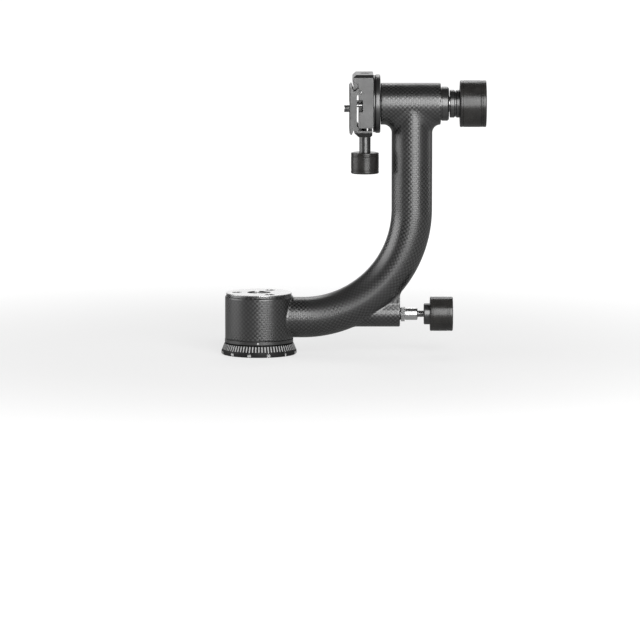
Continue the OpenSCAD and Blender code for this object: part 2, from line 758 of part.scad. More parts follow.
// Puts its children on the axis of each clamp bolt
module clamp_bolt_places() {
    for (y = [-bolt_y, bolt_y], u = [-bolt_u, bolt_u]) translate([0, y, tilt_h + u]) children();
}

// Section of a jaw's nose, as [x, u] points from the outer side to the floor
function nose(side_u) = [
    [lip_x, side_u], [lip_x, nose_u + 5.6], [nose_x0, nose_u], [nose_x1, nose_u],
    [plate_back - foot_t, dovetail_half_w + jaw_gap],
    [floor_x, dovetail_half_w + jaw_gap + 0.2]
];

// Section of the fixed jaw and the clamp's floor, as [x, u]
function clamp_section() = concat(
    [[clamp_x1, plate_drop - clamp_down], [clamp_x1, lip_top], [lip_x + 2.9, lip_top]],
    nose(lip_side),
    [[floor_x, plate_drop - clamp_down]]
);

// Lays a section drawn as [x, u] in the XZ plane and pulls it along Y
module along_y(y0, y1) {
    translate([0, y1, plate_z]) rotate([90, 0, 0]) linear_extrude(y1 - y0) children();
}

// Pulls an outline of the ends, drawn as [y, z], along X across clamp and jaw
module end_outline(points) {
    translate([lip_x - over, 0, 0]) rotate([90, 0, 90])
        linear_extrude(clamp_x1 - lip_x + 2 * over) polygon(points);
}

// Turns its children upside down about the plate's centre line
module below_plate_line() {
    translate([0, 0, plate_z]) mirror([0, 0, 1]) translate([0, 0, -plate_z]) children();
}

// The cut that opens the jaw's end, as [x, u]: the plate is led in past it
module end_cut() {
    polygon([
        [lip_x - over, lip_side - 1.6], [lip_x, lip_side - 1.6], [lip_x + 1.5, lip_side - 3.4],
        [floor_x - 0.9, lip_side - 3.9], [floor_x, dovetail_half_w - 0.5],
        [nose_x0, nose_u - over], [lip_x - over, nose_u - over]
    ]);
}

module clamp_body() {
    end = clamp_l / 2;
    foot_z = tilt_h - clamp_down;
    top_z = tilt_h + clamp_up;
    color(satin) difference() {
        intersection() {
            along_y(-end, end) polygon(clamp_section());
            end_outline([
                [-end, foot_z - over], [end, foot_z - over], [end, top_z - clamp_bevel],
                [end - clamp_bevel, top_z], [clamp_bevel - end, top_z], [-end, top_z - clamp_bevel]
            ]);
        }
        along_y(-end - over, -end + end_relief) end_cut();
        along_y(end - end_relief, end + over) end_cut();
        clamp_bolt_places() {
            rod_x(clamp_bolt_r + fit_gap, floor_x - over, clamp_x1 + over);
            rod_x(clamp_head_r + fit_gap, floor_x - over, floor_x + clamp_head_t + 0.6);
        }
        translate([screw_x, 0, foot_z - over])
            cylinder(r = clamp_screw_r + run_gap, h = clamp_down + clamp_up + 2 * over);
        translate([screw_x, 0, screw_top - retainer_t - jaw_travel - 0.5])
            cylinder(r = retainer_r + 0.25, h = jaw_travel + retainer_t + 2 * over + 1);
        for (y = [-guide_y, guide_y]) translate([guide_x, y, foot_z - over])
            cylinder(r = guide_pin_r + run_gap, h = guide_up - 4 + over);
        for (y = [-end - over, pocket_y])
            translate([floor_x - over, y, tilt_h - 0.3 - pocket_half_h])
                cube([pocket_x - floor_x + over, end + over - pocket_y, 2 * pocket_half_h]);
    }
}

module clamp_bolts() {
    color(steel) clamp_bolt_places() on_x() difference() {
        turned([
            [0, floor_x + 0.6], [clamp_head_r, floor_x + 0.6],
            [clamp_head_r, floor_x + 0.6 + clamp_head_t - fit_gap],
            [clamp_bolt_r, floor_x + 0.6 + clamp_head_t - fit_gap],
            [clamp_bolt_r, flange_x1 - 1], [0, flange_x1 - 1]
        ]);
        translate([0, 0, floor_x]) cylinder(r = clamp_head_r * 0.48, h = 2.4, $fn = 6);
    }
}

module tilt_inner_races() {
    color(steel) on_x(z = tilt_h) for (x = [brg_a_x, brg_b_x]) translate([0, 0, x])
        race(tilt_bore_r + fit_gap, tilt_pitch_r - race_gap_tilt, tilt_brg_w,
            tilt_pitch_r, tilt_ball_r);
}

module tilt_balls() {
    color(bright) on_x(z = tilt_h) for (x = [brg_a_x, brg_b_x]) translate([0, 0, x])
        balls(tilt_ball_n, tilt_pitch_r, tilt_ball_r, tilt_brg_w);
}

module tilt_spacer() {
    color(steel) on_x(z = tilt_h)
        ring_z(tilt_bore_r + fit_gap, shaft_shoulder_r - 0.3, brg_a_x + tilt_brg_w, brg_b_x);
}

module shaft_circlip() {
    color(steel) on_x(z = tilt_h)
        ring_z(journal_r + fit_gap, journal_r + 1.8, brg_b_end + fit_gap, brg_b_end + circlip_w);
}

// ---- Tilt lock ----

module thrust_washer() {
    color(anodised) on_x(z = tilt_h)
        turned_ring(journal_r + run_gap, hub_r, washer_x, washer_end, 0.4);
}

module tilt_knob_core() {
    core_r = tilt_knob_r - knob_wall;
    end = tilt_knob_x + tilt_knob_w - knob_end;
    color(anodised) on_x(z = tilt_h) difference() {
        turned([
            [0, washer_end + fit_gap], [hub_nose_r, washer_end + fit_gap], [hub_nose_r, hub_x],
            [hub_r - edge, hub_x], [hub_r, hub_x + edge], [hub_r, tilt_knob_x - edge],
            [hub_r - 0.4, tilt_knob_x], [core_r, tilt_knob_x], [core_r, end], [0, end]
        ]);
        translate([0, 0, hub_x - 2 * over])
            cylinder(r = tilt_thread_r + run_gap, h = tilt_thread_end - hub_x + 2 * over + 1.5);
    }
}

// Rubber sleeve of a knob about local Z, with two fine grooves near each rim
module knob_grip(r, r_core, h, groove = 0.35) {
    rim = 0.7;
    turned([
        [r_core + fit_gap, 0], [r - rim, 0], [r, rim],
        [r, 2.2], [r - groove, 2.4], [r - groove, 2.8], [r, 3.0],
        [r, h - 4.8], [r - groove, h - 4.6], [r - groove, h - 4.2], [r, h - 4.0],
        [r, h - 3.3], [r - groove, h - 3.1], [r - groove, h - 2.7], [r, h - 2.5],
        [r, h - rim], [r - rim, h], [r_core + fit_gap, h]
    ]);
}

// Cap disc that closes the end of a knob, its outer face a little behind the rim
module knob_cap(r_core, h) {
    turned([
        [0, h - knob_end + fit_gap], [r_core, h - knob_end + fit_gap],
        [r_core, h - 1], [r_core - 0.6, h - 0.4], [0, h - 0.4]
    ]);
}

module tilt_knob_grip() {
    color(rubber) on_x(z = tilt_h) translate([0, 0, tilt_knob_x])
        knob_grip(tilt_knob_r, tilt_knob_r - knob_wall, tilt_knob_w);
}

module tilt_knob_cap() {
    color(anodised) on_x(z = tilt_h) translate([0, 0, tilt_knob_x])
        knob_cap(tilt_knob_r - knob_wall, tilt_knob_w);
}

// ---- Clamp lock ----

module moving_jaw() {
    end = clamp_l / 2;
    back = clamp_x1 - jaw_back;
    front = lip_x + jaw_front;
    bevel_z = jaw_foot_z + jaw_slope;
    color(satin) difference() {
        intersection() {
            below_plate_line() along_y(-end, end) polygon([
                [back, jaw_u], [back, jaw_foot_u - jaw_back_slope],
                [back - jaw_back_slope, jaw_foot_u], [front + jaw_slope, jaw_foot_u],
                [front, jaw_foot_u - jaw_slope], [front, nose_u + edge],
                [nose_x0, nose_u], [nose_x1, nose_u],
                [plate_back - foot_t, dovetail_half_w + jaw_gap],
                [floor_x, dovetail_half_w + jaw_gap + 0.2], [floor_x, jaw_u]
            ]);
            end_outline([
                [jaw_slope - end, jaw_foot_z], [end - jaw_slope, jaw_foot_z], [end, bevel_z],
                [end, plate_z], [-end, plate_z], [-end, bevel_z]
            ]);
        }
        for (y = [-guide_y, guide_y]) translate([guide_x, y, guide_foot_z - fit_gap])
            cylinder(r = guide_pin_r + fit_gap, h = jaw_t + over);
        translate([screw_x, 0, jaw_foot_z - over])
            cylinder(r = clamp_screw_r + run_gap, h = jaw_t + 2 * over);
    }
}

module jaw_guide_pins() {
    color(steel) for (y = [-guide_y, guide_y]) translate([guide_x, y, guide_foot_z])
        turned_ring(0, guide_pin_r, 0, guide_up, 0.3);
}

module clamp_screw() {
    color(anodised) translate([screw_x, 0, 0]) turned([
        [0, knob_top_z - screw_in_knob], [clamp_screw_r, knob_top_z - screw_in_knob], [clamp_screw_r, knob_top_z],
        [neck_r, knob_top_z], [neck_r, jaw_foot_z - fit_gap - 0.5],
        [neck_r - 0.5, jaw_foot_z - fit_gap], [clamp_screw_r, jaw_foot_z - fit_gap],
        [clamp_screw_r, screw_top - retainer_t], [clamp_screw_r - 0.8, screw_top - retainer_t],
        [clamp_screw_r - 0.8, screw_top], [0, screw_top]
    ]);
}

module screw_retainer() {
    color(anodised) translate([screw_x, 0, 0])
        ring_z(clamp_screw_r - 0.8 + fit_gap, retainer_r, screw_top - retainer_t + fit_gap, screw_top);
}

module clamp_knob_core() {
    color(anodised) translate([screw_x, 0, knob_top_z - fit_gap]) mirror([0, 0, 1])
        difference() {
            turned_ring(0, clamp_knob_r - knob_wall, 0, clamp_knob_h - knob_end, 0.2);
            translate([0, 0, -over]) cylinder(r = clamp_screw_r + fit_gap, h = screw_in_knob + 1.5 * over);
        }
}

module clamp_knob_grip() {
    inner = clamp_knob_r - knob_wall + fit_gap;
    rim = 1.2;
    groove = 0.25;
    h = clamp_knob_h;
    r = clamp_knob_r;
    color(rubber) translate([screw_x, 0, knob_top_z]) mirror([0, 0, 1]) turned([
        [inner, 0], [r - 0.4, 0], [r, 0.4],
        [r, 1.4], [r - groove, 1.5], [r - groove, 1.8], [r, 1.9],
        [r, 2.7], [r - groove, 2.8], [r - groove, 3.1], [r, 3.2],
        [r, h - 4.2], [r - groove, h - 4.1], [r - groove, h - 3.8], [r, h - 3.7],
        [r, h - 2.9], [r - groove, h - 2.8], [r - groove, h - 2.5], [r, h - 2.4],
        [r, h - rim], [r - 0.35, h - 0.35], [r - rim, h], [0, h],
        [0, h - knob_end + 2 * fit_gap], [inner, h - knob_end + 2 * fit_gap]
    ]);
}

// ---- Pan lock ----

module push_rod() {
    color(steel) rod_x(rod_r, pad_face + pad_l, rod_end, z = lock_h);
}

module brake_pad() {
    color(brass) difference() {
        rod_x(pad_r, drum_r - over, pad_face + pad_l, z = lock_h);
        translate([lock_travel, 0, lock_h - pad_r - over])
            cylinder(r = pad_arc_r, h = 2 * pad_r + 2 * over);
    }
}

module lock_stud() {
    color(bright) on_x(z = lock_h) turned([
        [0, rod_end], [stud_r - 0.4, rod_end], [stud_r, rod_end + 0.4],
        [stud_r, pan_knob_x + 8], [0, pan_knob_x + 8]
    ]);
}

module pan_knob_core() {
    core_r = pan_knob_r - knob_wall;
    end = pan_knob_x + pan_knob_w - knob_end;
    color(anodised) on_x(z = lock_h) difference() {
        turned([
            [0, knob_boss_x], [knob_boss_r - edge, knob_boss_x], [knob_boss_r, knob_boss_x + edge],
            [knob_boss_r, pan_knob_x], [core_r, pan_knob_x], [core_r, end], [0, end]
        ]);
        translate([0, 0, knob_boss_x - over])
            cylinder(r = stud_r + fit_gap, h = knob_boss_w + 8 + 2 * over);
    }
}

module pan_knob_grip() {
    color(rubber) on_x(z = lock_h) translate([0, 0, pan_knob_x])
        knob_grip(pan_knob_r, pan_knob_r - knob_wall, pan_knob_w, 0.15);
}

module pan_knob_cap() {
    color(anodised) on_x(z = lock_h) translate([0, 0, pan_knob_x])
        knob_cap(pan_knob_r - knob_wall, pan_knob_w);
}

// ---- Quick-release plate ----

// Half of the plate's section, as [x, u]; the other half is its mirror image
function plate_half() = [
    [plate_front, 0], [plate_front, plate_half_w - edge], [plate_front + edge, plate_half_w],
    [slab_x, plate_half_w], [groove_x - groove_w, groove_half_w], [groove_x, groove_half_w],
    [plate_back - foot_t, dovetail_half_w], [plate_back, dovetail_half_w],
    [plate_back, channel_w / 2 + 1.6], [channel_x, channel_w / 2], [channel_x, 0]
];

module quick_plate() {
    color(satin) difference() {
        union() {
            along_y(-plate_l / 2, plate_l / 2) polygon(plate_half());
            below_plate_line() along_y(-plate_l / 2, plate_l / 2) polygon(plate_half());
        }
        rod_x(camera_screw_r + run_gap, plate_front - over, plate_back, z = plate_z);
        rod_x(camera_head_r + 0.2, channel_x - camera_head_t - 0.3, plate_back + over, z = plate_z);
        for (s = [-1, 1]) {
            translate([plate_front - over, -plate_l / 2 + pad_inset - fit_gap,
                plate_z + s * pad_off - pad_strip_w / 2 - fit_gap])
                cube([over + pad_seat, plate_l - 2 * (pad_inset - fit_gap), pad_strip_w + 2 * fit_gap]);
            rod_x(stop_pin_r + fit_gap, channel_x - stop_pin_seat - 2 * fit_gap, plate_back + over,
                y = s * stop_y, z = tilt_h);
        }
    }
}

module plate_pads() {
    color(rubber) for (s = [-1, 1])
        translate([plate_front + pad_seat - pad_strip_t, -plate_l / 2 + pad_inset,
            plate_z + s * pad_off - pad_strip_w / 2])
            cube([pad_strip_t, plate_l - 2 * pad_inset, pad_strip_w]);
}

module plate_stop_pins() {
    color(steel) for (s = [-1, 1])
        rod_x(stop_pin_r, channel_x - stop_pin_seat, pocket_x - face_gap, y = s * stop_y, z = tilt_h);
}

module camera_screw() {
    head_x = channel_x - camera_head_t - 0.1;
    color(steel) on_x(z = plate_z) difference() {
        turned([
            [0, plate_front - camera_screw_l], [camera_screw_r - 0.5, plate_front - camera_screw_l],
            [camera_screw_r, plate_front - camera_screw_l + 0.5], [camera_screw_r, plate_front],
            [camera_screw_r - 0.6, plate_front], [camera_screw_r - 0.6, head_x],
            [camera_head_r, head_x], [camera_head_r, head_x + camera_head_t],
            [0, head_x + camera_head_t]
        ]);
        translate([-camera_head_r - over, -0.6, head_x + camera_head_t - 1.1])
            cube([2 * camera_head_r + 2 * over, 1.2, 1.1 + over]);
    }
}

scale_ring();
base_body();
thread_insert();
ring_screws();
pan_inner_races();
pan_balls();
brake_drum();
spindle_nut();
spindle_lock_screw();
arm();
pan_liner();
pan_top_cap();
cap_screws();
pan_outer_races();
tilt_sleeve();
tilt_end_collar();
tilt_outer_races();
lock_bush();
lock_washer();
tilt_shaft();
tilt_flange();
flange_bolt();
flange_disc();
clamp_body();
clamp_bolts();
tilt_inner_races();
tilt_balls();
tilt_spacer();
shaft_circlip();
thrust_washer();
tilt_knob_core();
tilt_knob_grip();
tilt_knob_cap();
moving_jaw();
jaw_guide_pins();
clamp_screw();
clamp_knob_core();
clamp_knob_grip();
screw_retainer();
push_rod();
brake_pad();
lock_stud();
pan_knob_core();
pan_knob_grip();
pan_knob_cap();
quick_plate();
plate_pads();
plate_stop_pins();
camera_screw();
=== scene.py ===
"""Dresses a packed gimbal tripod head and sets it in a plain studio.

The head has a graduated base, a one-piece carbon arm that pans on it, a tilt
group with a dovetail clamp, and three round lock knobs. Builders work in
millimetres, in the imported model's own frame: +Z is the pan axis, +X points to
the upright part of the arm. Meshes become metres when they are made.
"""

import logging
import math
from collections.abc import Callable, Sequence
from dataclasses import KW_ONLY, dataclass
from enum import Enum

import bpy
import numpy as np
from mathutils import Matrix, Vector


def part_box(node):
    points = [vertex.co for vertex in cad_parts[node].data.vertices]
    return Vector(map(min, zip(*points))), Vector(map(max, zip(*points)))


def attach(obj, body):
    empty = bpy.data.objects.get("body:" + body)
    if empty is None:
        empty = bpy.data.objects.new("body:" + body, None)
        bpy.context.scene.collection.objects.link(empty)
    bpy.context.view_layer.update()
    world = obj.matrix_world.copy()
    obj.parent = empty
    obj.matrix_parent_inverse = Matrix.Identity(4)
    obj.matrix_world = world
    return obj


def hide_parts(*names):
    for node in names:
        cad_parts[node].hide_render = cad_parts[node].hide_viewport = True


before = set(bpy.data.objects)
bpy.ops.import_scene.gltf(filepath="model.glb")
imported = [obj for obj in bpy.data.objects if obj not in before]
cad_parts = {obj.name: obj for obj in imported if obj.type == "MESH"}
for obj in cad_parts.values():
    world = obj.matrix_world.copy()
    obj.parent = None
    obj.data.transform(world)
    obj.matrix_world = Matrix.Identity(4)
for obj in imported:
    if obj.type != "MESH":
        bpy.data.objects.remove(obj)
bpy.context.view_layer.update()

LOG = logging.getLogger("gimbal_head")
METRES_PER_MM = 0.001
PHOTO_SIDE_PX = 640
SMOOTH_BELOW_DEG = 35.0

# Places and sizes in millimetres that more than one piece uses.
TILT_AXIS_Z = 216.5
LOCK_AXIS_Z = 34.4
PLATE_SCREW_Z = 212.3
CLAMP_SCREW_X = 91.5
CLAMP_END_X, CLAMP_END_Z = 88.0, 228.0
TOW_WIDTH = 1.98
GRIP_WALL = 2.45
PAINT_SUNK = 0.15
PAINT_PROUD = 0.03
WALL_TOLERANCE = 0.01

FRONT_DEG = -90.0

# The sides of a block, and of any six-sided solid with its corners in that order.
BLOCK_SIDES = ((0, 1, 3, 2), (4, 6, 7, 5), (0, 4, 5, 1), (2, 3, 7, 6), (0, 2, 6, 4), (1, 5, 7, 3))

Colour = tuple[float, float, float, float]
Profile = Sequence[tuple[float, float]]
Relief = Callable[[np.ndarray, np.ndarray, np.ndarray], np.ndarray]


# ---------------------------------------------------------------- axes and meshes


class Spindle(Enum):
    """An axis that turned pieces share: a point on it in millimetres, and its direction."""

    PAN = ((0.0, 0.0, 0.0), (0.0, 0.0, 1.0))
    TILT = ((0.0, 0.0, TILT_AXIS_Z), (1.0, 0.0, 0.0))
    PAN_LOCK = ((0.0, 0.0, LOCK_AXIS_Z), (1.0, 0.0, 0.0))
    CLAMP_SCREW = ((CLAMP_SCREW_X, 0.0, 0.0), (0.0, 0.0, 1.0))
    CAMERA_SCREW = ((0.0, 0.0, PLATE_SCREW_Z), (1.0, 0.0, 0.0))
    CLAMP_END = ((CLAMP_END_X, 0.0, CLAMP_END_Z), (0.0, 1.0, 0.0))

    @property
    def point(self) -> np.ndarray:
        """A point on the axis, in millimetres."""
        return np.array(self.value[0])

    @property
    def direction(self) -> np.ndarray:
        """The axis's unit direction."""
        return np.array(self.value[1])

    def place(self, radius: np.ndarray, angle: np.ndarray, along: np.ndarray) -> np.ndarray:
        """Turns polar places about the axis into points.

        Args:
            radius: distances from the axis.
            angle: turns about the axis, in radians. 0 is +X about an upright axis, -Z
                about one along X and +Z about one along Y.
            along: distances along the axis.

        Returns:
            The points in millimetres, one row each.
        """
        c, s = radius * np.cos(angle), radius * np.sin(angle)
        if self.direction[2] > 0.5:
            local = np.stack([c, s, along], axis=-1)
        elif self.direction[1] > 0.5:
            local = np.stack([s, along, c], axis=-1)
        else:
            local = np.stack([along, s, -c], axis=-1)
        return local + self.point


def mesh_piece(name: str, points: np.ndarray, faces: Sequence[Sequence[int]]) -> bpy.types.Object:
    """Makes a smooth-shaded mesh object from points in millimetres.

    Args:
        name: the piece's name.
        points: one row per vertex.
        faces: vertex indices of each face.

    Returns:
        The new object, linked to the scene.
    """
    mesh = bpy.data.meshes.new(name)
    mesh.from_pydata((np.asarray(points) * METRES_PER_MM).tolist(), [], [list(f) for f in faces])
    mesh.validate()
    piece = bpy.data.objects.new(name, mesh)
    bpy.context.scene.collection.objects.link(piece)
    shade(piece)
    return piece


def shade(piece: bpy.types.Object, sharp_deg: float = SMOOTH_BELOW_DEG) -> None:
    """Shades a piece smooth, with hard edges where faces meet at more than sharp_deg."""
    piece.data.shade_smooth()
    piece.data.set_sharp_from_angle(angle=math.radians(sharp_deg))


def subdivided(profile: Profile, step: float) -> np.ndarray:
    """Cuts a closed profile's long sides into stretches no longer than step.

    Args:
        profile: corner points as (radius, along).
        step: the longest stretch, in millimetres.

    Returns:
        The denser closed profile, one row per point.
    """
    corners = np.array(profile, float)
    rows = []
    for a, b in zip(corners, np.roll(corners, -1, axis=0)):
        parts = max(1, math.ceil(float(np.linalg.norm(b - a)) / step))
        rows.extend(a + (b - a) * k / parts for k in range(parts))
    return np.array(rows)


def revolve(
    name: str,
    profile: Profile,
    spindle: Spindle,
    steps: int = 96,
    step: float = math.inf,
    relief: Relief | None = None,
) -> bpy.types.Object:
    """Turns a closed profile about an axis, with an optional relief on its surface.

    Args:
        name: the piece's name.
        profile: corner points as (radius, along), counter-clockwise with the
            radius to the right and the axis upward.
        spindle: the axis.
        steps: how many stretches go round.
        step: the longest stretch along the profile, in millimetres.
        relief: gives how far each point moves outward, from its radius, angle and
            place along the axis.

    Returns:
        The new object.
    """
    ring = subdivided(profile, step)
    angle = np.arange(steps) * 2 * math.pi / steps
    radius = np.repeat(ring[None, :, 0], steps, axis=0)
    along = np.repeat(ring[None, :, 1], steps, axis=0)
    turn = np.repeat(angle[:, None], len(ring), axis=1)
    if relief is not None:
        radius = radius + relief(radius, turn, along)
    points = spindle.place(radius, turn, along).reshape(-1, 3)
    n = len(ring)
    index = np.arange(steps * n).reshape(steps, n)
    following = np.roll(index, -1, axis=0)
    quads = np.stack(
        [index, following, np.roll(following, -1, axis=1), np.roll(index, -1, axis=1)], axis=-1
    ).reshape(-1, 4)
    on_axis = ring[:, 0] < 1e-9
    remap = np.arange(steps * n)
    for k in np.flatnonzero(on_axis):
        remap[index[:, k]] = index[0, k]
    faces = []
    for quad in remap[quads]:
        corners = list(dict.fromkeys(quad.tolist()))
        if len(corners) > 2:
            faces.append(corners)
    used = np.unique(np.concatenate([np.array(f) for f in faces]))
    renumber = {int(old): new for new, old in enumerate(used)}
    return mesh_piece(name, points[used], [[renumber[i] for i in f] for f in faces])


def circular_union(a: np.ndarray, b: np.ndarray, fillet: np.ndarray | float) -> np.ndarray:
    """Joins two signed distances with a round fillet.

    Args:
        a: distances to the first solid.
        b: distances to the second solid.
        fillet: the fillet's radius, which may change from point to point.

    Returns:
        Signed distances to the joined solid.
    """
    r = np.maximum(fillet, 1e-3)
    hollow = np.hypot(np.maximum(r - a, 0), np.maximum(r - b, 0))
    return np.maximum(r, np.minimum(a, b)) - hollow


def corner_fillet(a: np.ndarray, b: np.ndarray, cosine: np.ndarray, radius: float) -> np.ndarray:
    """Joins two signed distances whose walls meet at any angle.

    Args:
        a: distances to the first solid.
        b: distances to the second solid.
        cosine: cosine of the angle between the outward directions of their walls.
        radius: the fillet's radius.

    Returns:
        Signed distances to the joined solid.
    """
    p, q = radius - a, radius - b
    span = np.sqrt(np.maximum(p * p + q * q - 2 * cosine * p * q, 0) / np.maximum(1 - cosine**2, 1e-3))
    between = (q > cosine * p) & (p > cosine * q)
    return np.where(between, radius - span, np.minimum(a, b))


def block(name: str, low: Sequence[float], high: Sequence[float]) -> bpy.types.Object:
    """A rectangular solid between two corners."""
    points = [(x, y, z) for x in (low[0], high[0]) for y in (low[1], high[1]) for z in (low[2], high[2])]
    return mesh_piece(name, np.array(points), BLOCK_SIDES)


def cut_away(piece: bpy.types.Object, cutters: Sequence[bpy.types.Object]) -> None:
    """Takes solids out of a piece, and deletes the solids.

    Args:
        piece: the piece.
        cutters: the solids.
    """
    for cutter in cutters:
        cut = piece.modifiers.new(cutter.name, "BOOLEAN")
        cut.operation, cut.object, cut.solver = "DIFFERENCE", cutter, "EXACT"
    view = bpy.context.evaluated_depsgraph_get()
    left = bpy.data.meshes.new_from_object(piece.evaluated_get(view))
    piece.modifiers.clear()
    piece.data = left
    for cutter in cutters:
        bpy.data.objects.remove(cutter)


@dataclass(frozen=True)
class ScrewThread:
    """A helical thread, as a relief on a turned piece.

    Attributes:
        radius: radius of the wall that carries it.
        first: where it starts along the axis.
        last: where it ends.
        pitch: its rise in one turn.
        depth: how far it is cut, below 0 where the cut goes inward.
        steepness: how steep its flanks are.
        flat: how much of a turn is flat, at the crest and at the root.
    """

    radius: float
    first: float
    last: float
    pitch: float
    depth: float
    steepness: float = 1.25
    flat: float = 0.1

    def __call__(self, radius: np.ndarray, angle: np.ndarray, along: np.ndarray) -> np.ndarray:
        """How far each point moves outward.

        Args:
            radius: distances from the axis, before the relief.
            angle: turns about the axis, in radians.
            along: distances along the axis.

        Returns:
            The moves, in millimetres.
        """
        flank = np.abs(((along / self.pitch - angle / (2 * math.pi)) % 1) * 2 - 1)
        crest = np.clip(flank * self.steepness - self.flat, 0, 1)
        run_in = np.clip((along - self.first) / self.pitch, 0, 1)
        run_out = np.clip((self.last - along) / self.pitch, 0, 1)
        on_wall = np.abs(radius - self.radius) < WALL_TOLERANCE
        return self.depth * crest * (run_in * run_out) * on_wall


def rounded(across: np.ndarray, along: np.ndarray, edge: float) -> np.ndarray:
    """Signed distance to a prism with rounded rims, from the distances across and along it."""
    p, q = across + edge, along + edge
    return np.minimum(np.maximum(p, q), 0) + np.hypot(np.maximum(p, 0), np.maximum(q, 0)) - edge


def surface_net(field: np.ndarray, origin: np.ndarray, pitch: float) -> tuple[np.ndarray, np.ndarray]:
    """Wraps the zero level of a sampled signed distance in quads.

    Args:
        field: distances on a regular grid, negative inside.
        origin: the grid's first point.
        pitch: distance between grid points.

    Returns:
        Vertices, one row each, and quads that face outward.
    """
    inside = field < 0
    shape = tuple(n - 1 for n in field.shape)
    corners = [(i, j, k) for i in (0, 1) for j in (0, 1) for k in (0, 1)]

    def corner(values: np.ndarray, at: tuple[int, int, int]) -> np.ndarray:
        """The grid values at one corner of every cell."""
        return values[tuple(slice(o, o + n) for o, n in zip(at, shape))]

    count = sum(corner(inside, at).astype(np.int8) for at in corners)
    cells = np.argwhere((count > 0) & (count < 8))
    number = np.full(shape, -1, np.int64)
    number[tuple(cells.T)] = np.arange(len(cells))
    total, hits = np.zeros((len(cells), 3)), np.zeros(len(cells))
    for a in corners:
        for axis in range(3):
            if a[axis]:
                continue
            b = tuple(1 if n == axis else a[n] for n in range(3))
            fa = field[tuple((cells + a).T)]
            fb = field[tuple((cells + b).T)]
            crossed = (fa < 0) != (fb < 0)
            share = np.where(crossed, fa / np.where(crossed, fa - fb, 1), 0)
            place = cells + np.array(a) + share[:, None] * (np.array(b) - np.array(a))
            total += place * crossed[:, None]
            hits += crossed
    vertices = total / hits[:, None] * pitch + origin

    quads = []
    for axis in range(3):
        u, v = (axis + 1) % 3, (axis + 2) % 3
        low = [slice(None)] * 3
        high = [slice(None)] * 3
        low[axis], high[axis] = slice(None, -1), slice(1, None)
        here, there = inside[tuple(low)], inside[tuple(high)]
        edges = np.argwhere(here != there)
        edges = edges[(edges[:, u] > 0) & (edges[:, v] > 0)]
        edges = edges[(edges[:, u] < shape[u]) & (edges[:, v] < shape[v])]
        leaving = here[tuple(edges.T)]
        unit_u, unit_v = np.eye(3, dtype=int)[u], np.eye(3, dtype=int)[v]
        around = [edges - unit_u - unit_v, edges - unit_v, edges, edges - unit_u]
        found = np.stack([number[tuple(c.T)] for c in around], axis=1)
        quads.append(np.where(leaving[:, None], found, found[:, ::-1]))
    return vertices, np.concatenate(quads)


# ---------------------------------------------------------------- shader graphs


class Graph:
    """A node tree with short calls that add nodes and wire them."""

    def __init__(self, tree: bpy.types.NodeTree) -> None:
        """Wraps a node tree."""
        self.tree = tree

    def add(self, kind: str, feeds: dict | None = None, **settings: object) -> bpy.types.Node:
        """Adds a node.

        Args:
            kind: the node's type name.
            feeds: what goes into its inputs, by name or index: a socket or a value.
            settings: the node's own properties.

        Returns:
            The new node.
        """
        node = self.tree.nodes.new(kind)
        for key, value in settings.items():
            setattr(node, key, value)
        for key, value in (feeds or {}).items():
            self.feed(node.inputs[key], value)
        return node

    def feed(self, socket: bpy.types.NodeSocket, value: object) -> None:
        """Wires a socket, or sets its constant.

        Args:
            socket: an input.
            value: a socket to wire to it, or its constant.
        """
        if isinstance(value, bpy.types.NodeSocket):
            self.tree.links.new(value, socket)
        else:
            socket.default_value = value

    def math(self, operation: str, *values: object) -> bpy.types.NodeSocket:
        """The result of a Math node on sockets or numbers."""
        return self.add("ShaderNodeMath", dict(enumerate(values)), operation=operation).outputs[0]

    def vector(self, operation: str, *values: object, out: int = 0) -> bpy.types.NodeSocket:
        """One result of a Vector Math node: 0 is the vector and 1 the number."""
        return self.add("ShaderNodeVectorMath", dict(enumerate(values)), operation=operation).outputs[out]

    def spread(
        self, value: object, low: float, high: float, to_low: float = 0.0, to_high: float = 1.0
    ) -> bpy.types.NodeSocket:
        """Maps a value smoothly from one range to another, held at both ends."""
        feeds = {0: value, 1: low, 2: high, 3: to_low, 4: to_high}
        return self.add("ShaderNodeMapRange", feeds, interpolation_type="SMOOTHSTEP").outputs[0]

    def blend_numbers(self, share: object, a: object, b: object) -> bpy.types.NodeSocket:
        """A number between a and b."""
        return self.add("ShaderNodeMix", {0: share, 2: a, 3: b}, data_type="FLOAT").outputs[0]

    def blend_colours(self, share: object, a: object, b: object) -> bpy.types.NodeSocket:
        """A colour between a and b."""
        return self.add("ShaderNodeMix", {0: share, 6: a, 7: b}, data_type="RGBA").outputs[2]

    def noise(self, vector: object, scale: object, detail: float = 2.0) -> bpy.types.NodeSocket:
        """Noise from 0 to 1 in space."""
        return self.add("ShaderNodeTexNoise", {"Vector": vector, "Scale": scale, "Detail": detail}).outputs[0]

    def line_noise(self, number: object, scale: float, detail: float) -> bpy.types.NodeSocket:
        """Noise from 0 to 1 along a number."""
        feeds = {"W": number, "Scale": scale, "Detail": detail}
        return self.add("ShaderNodeTexNoise", feeds, noise_dimensions="1D").outputs[0]


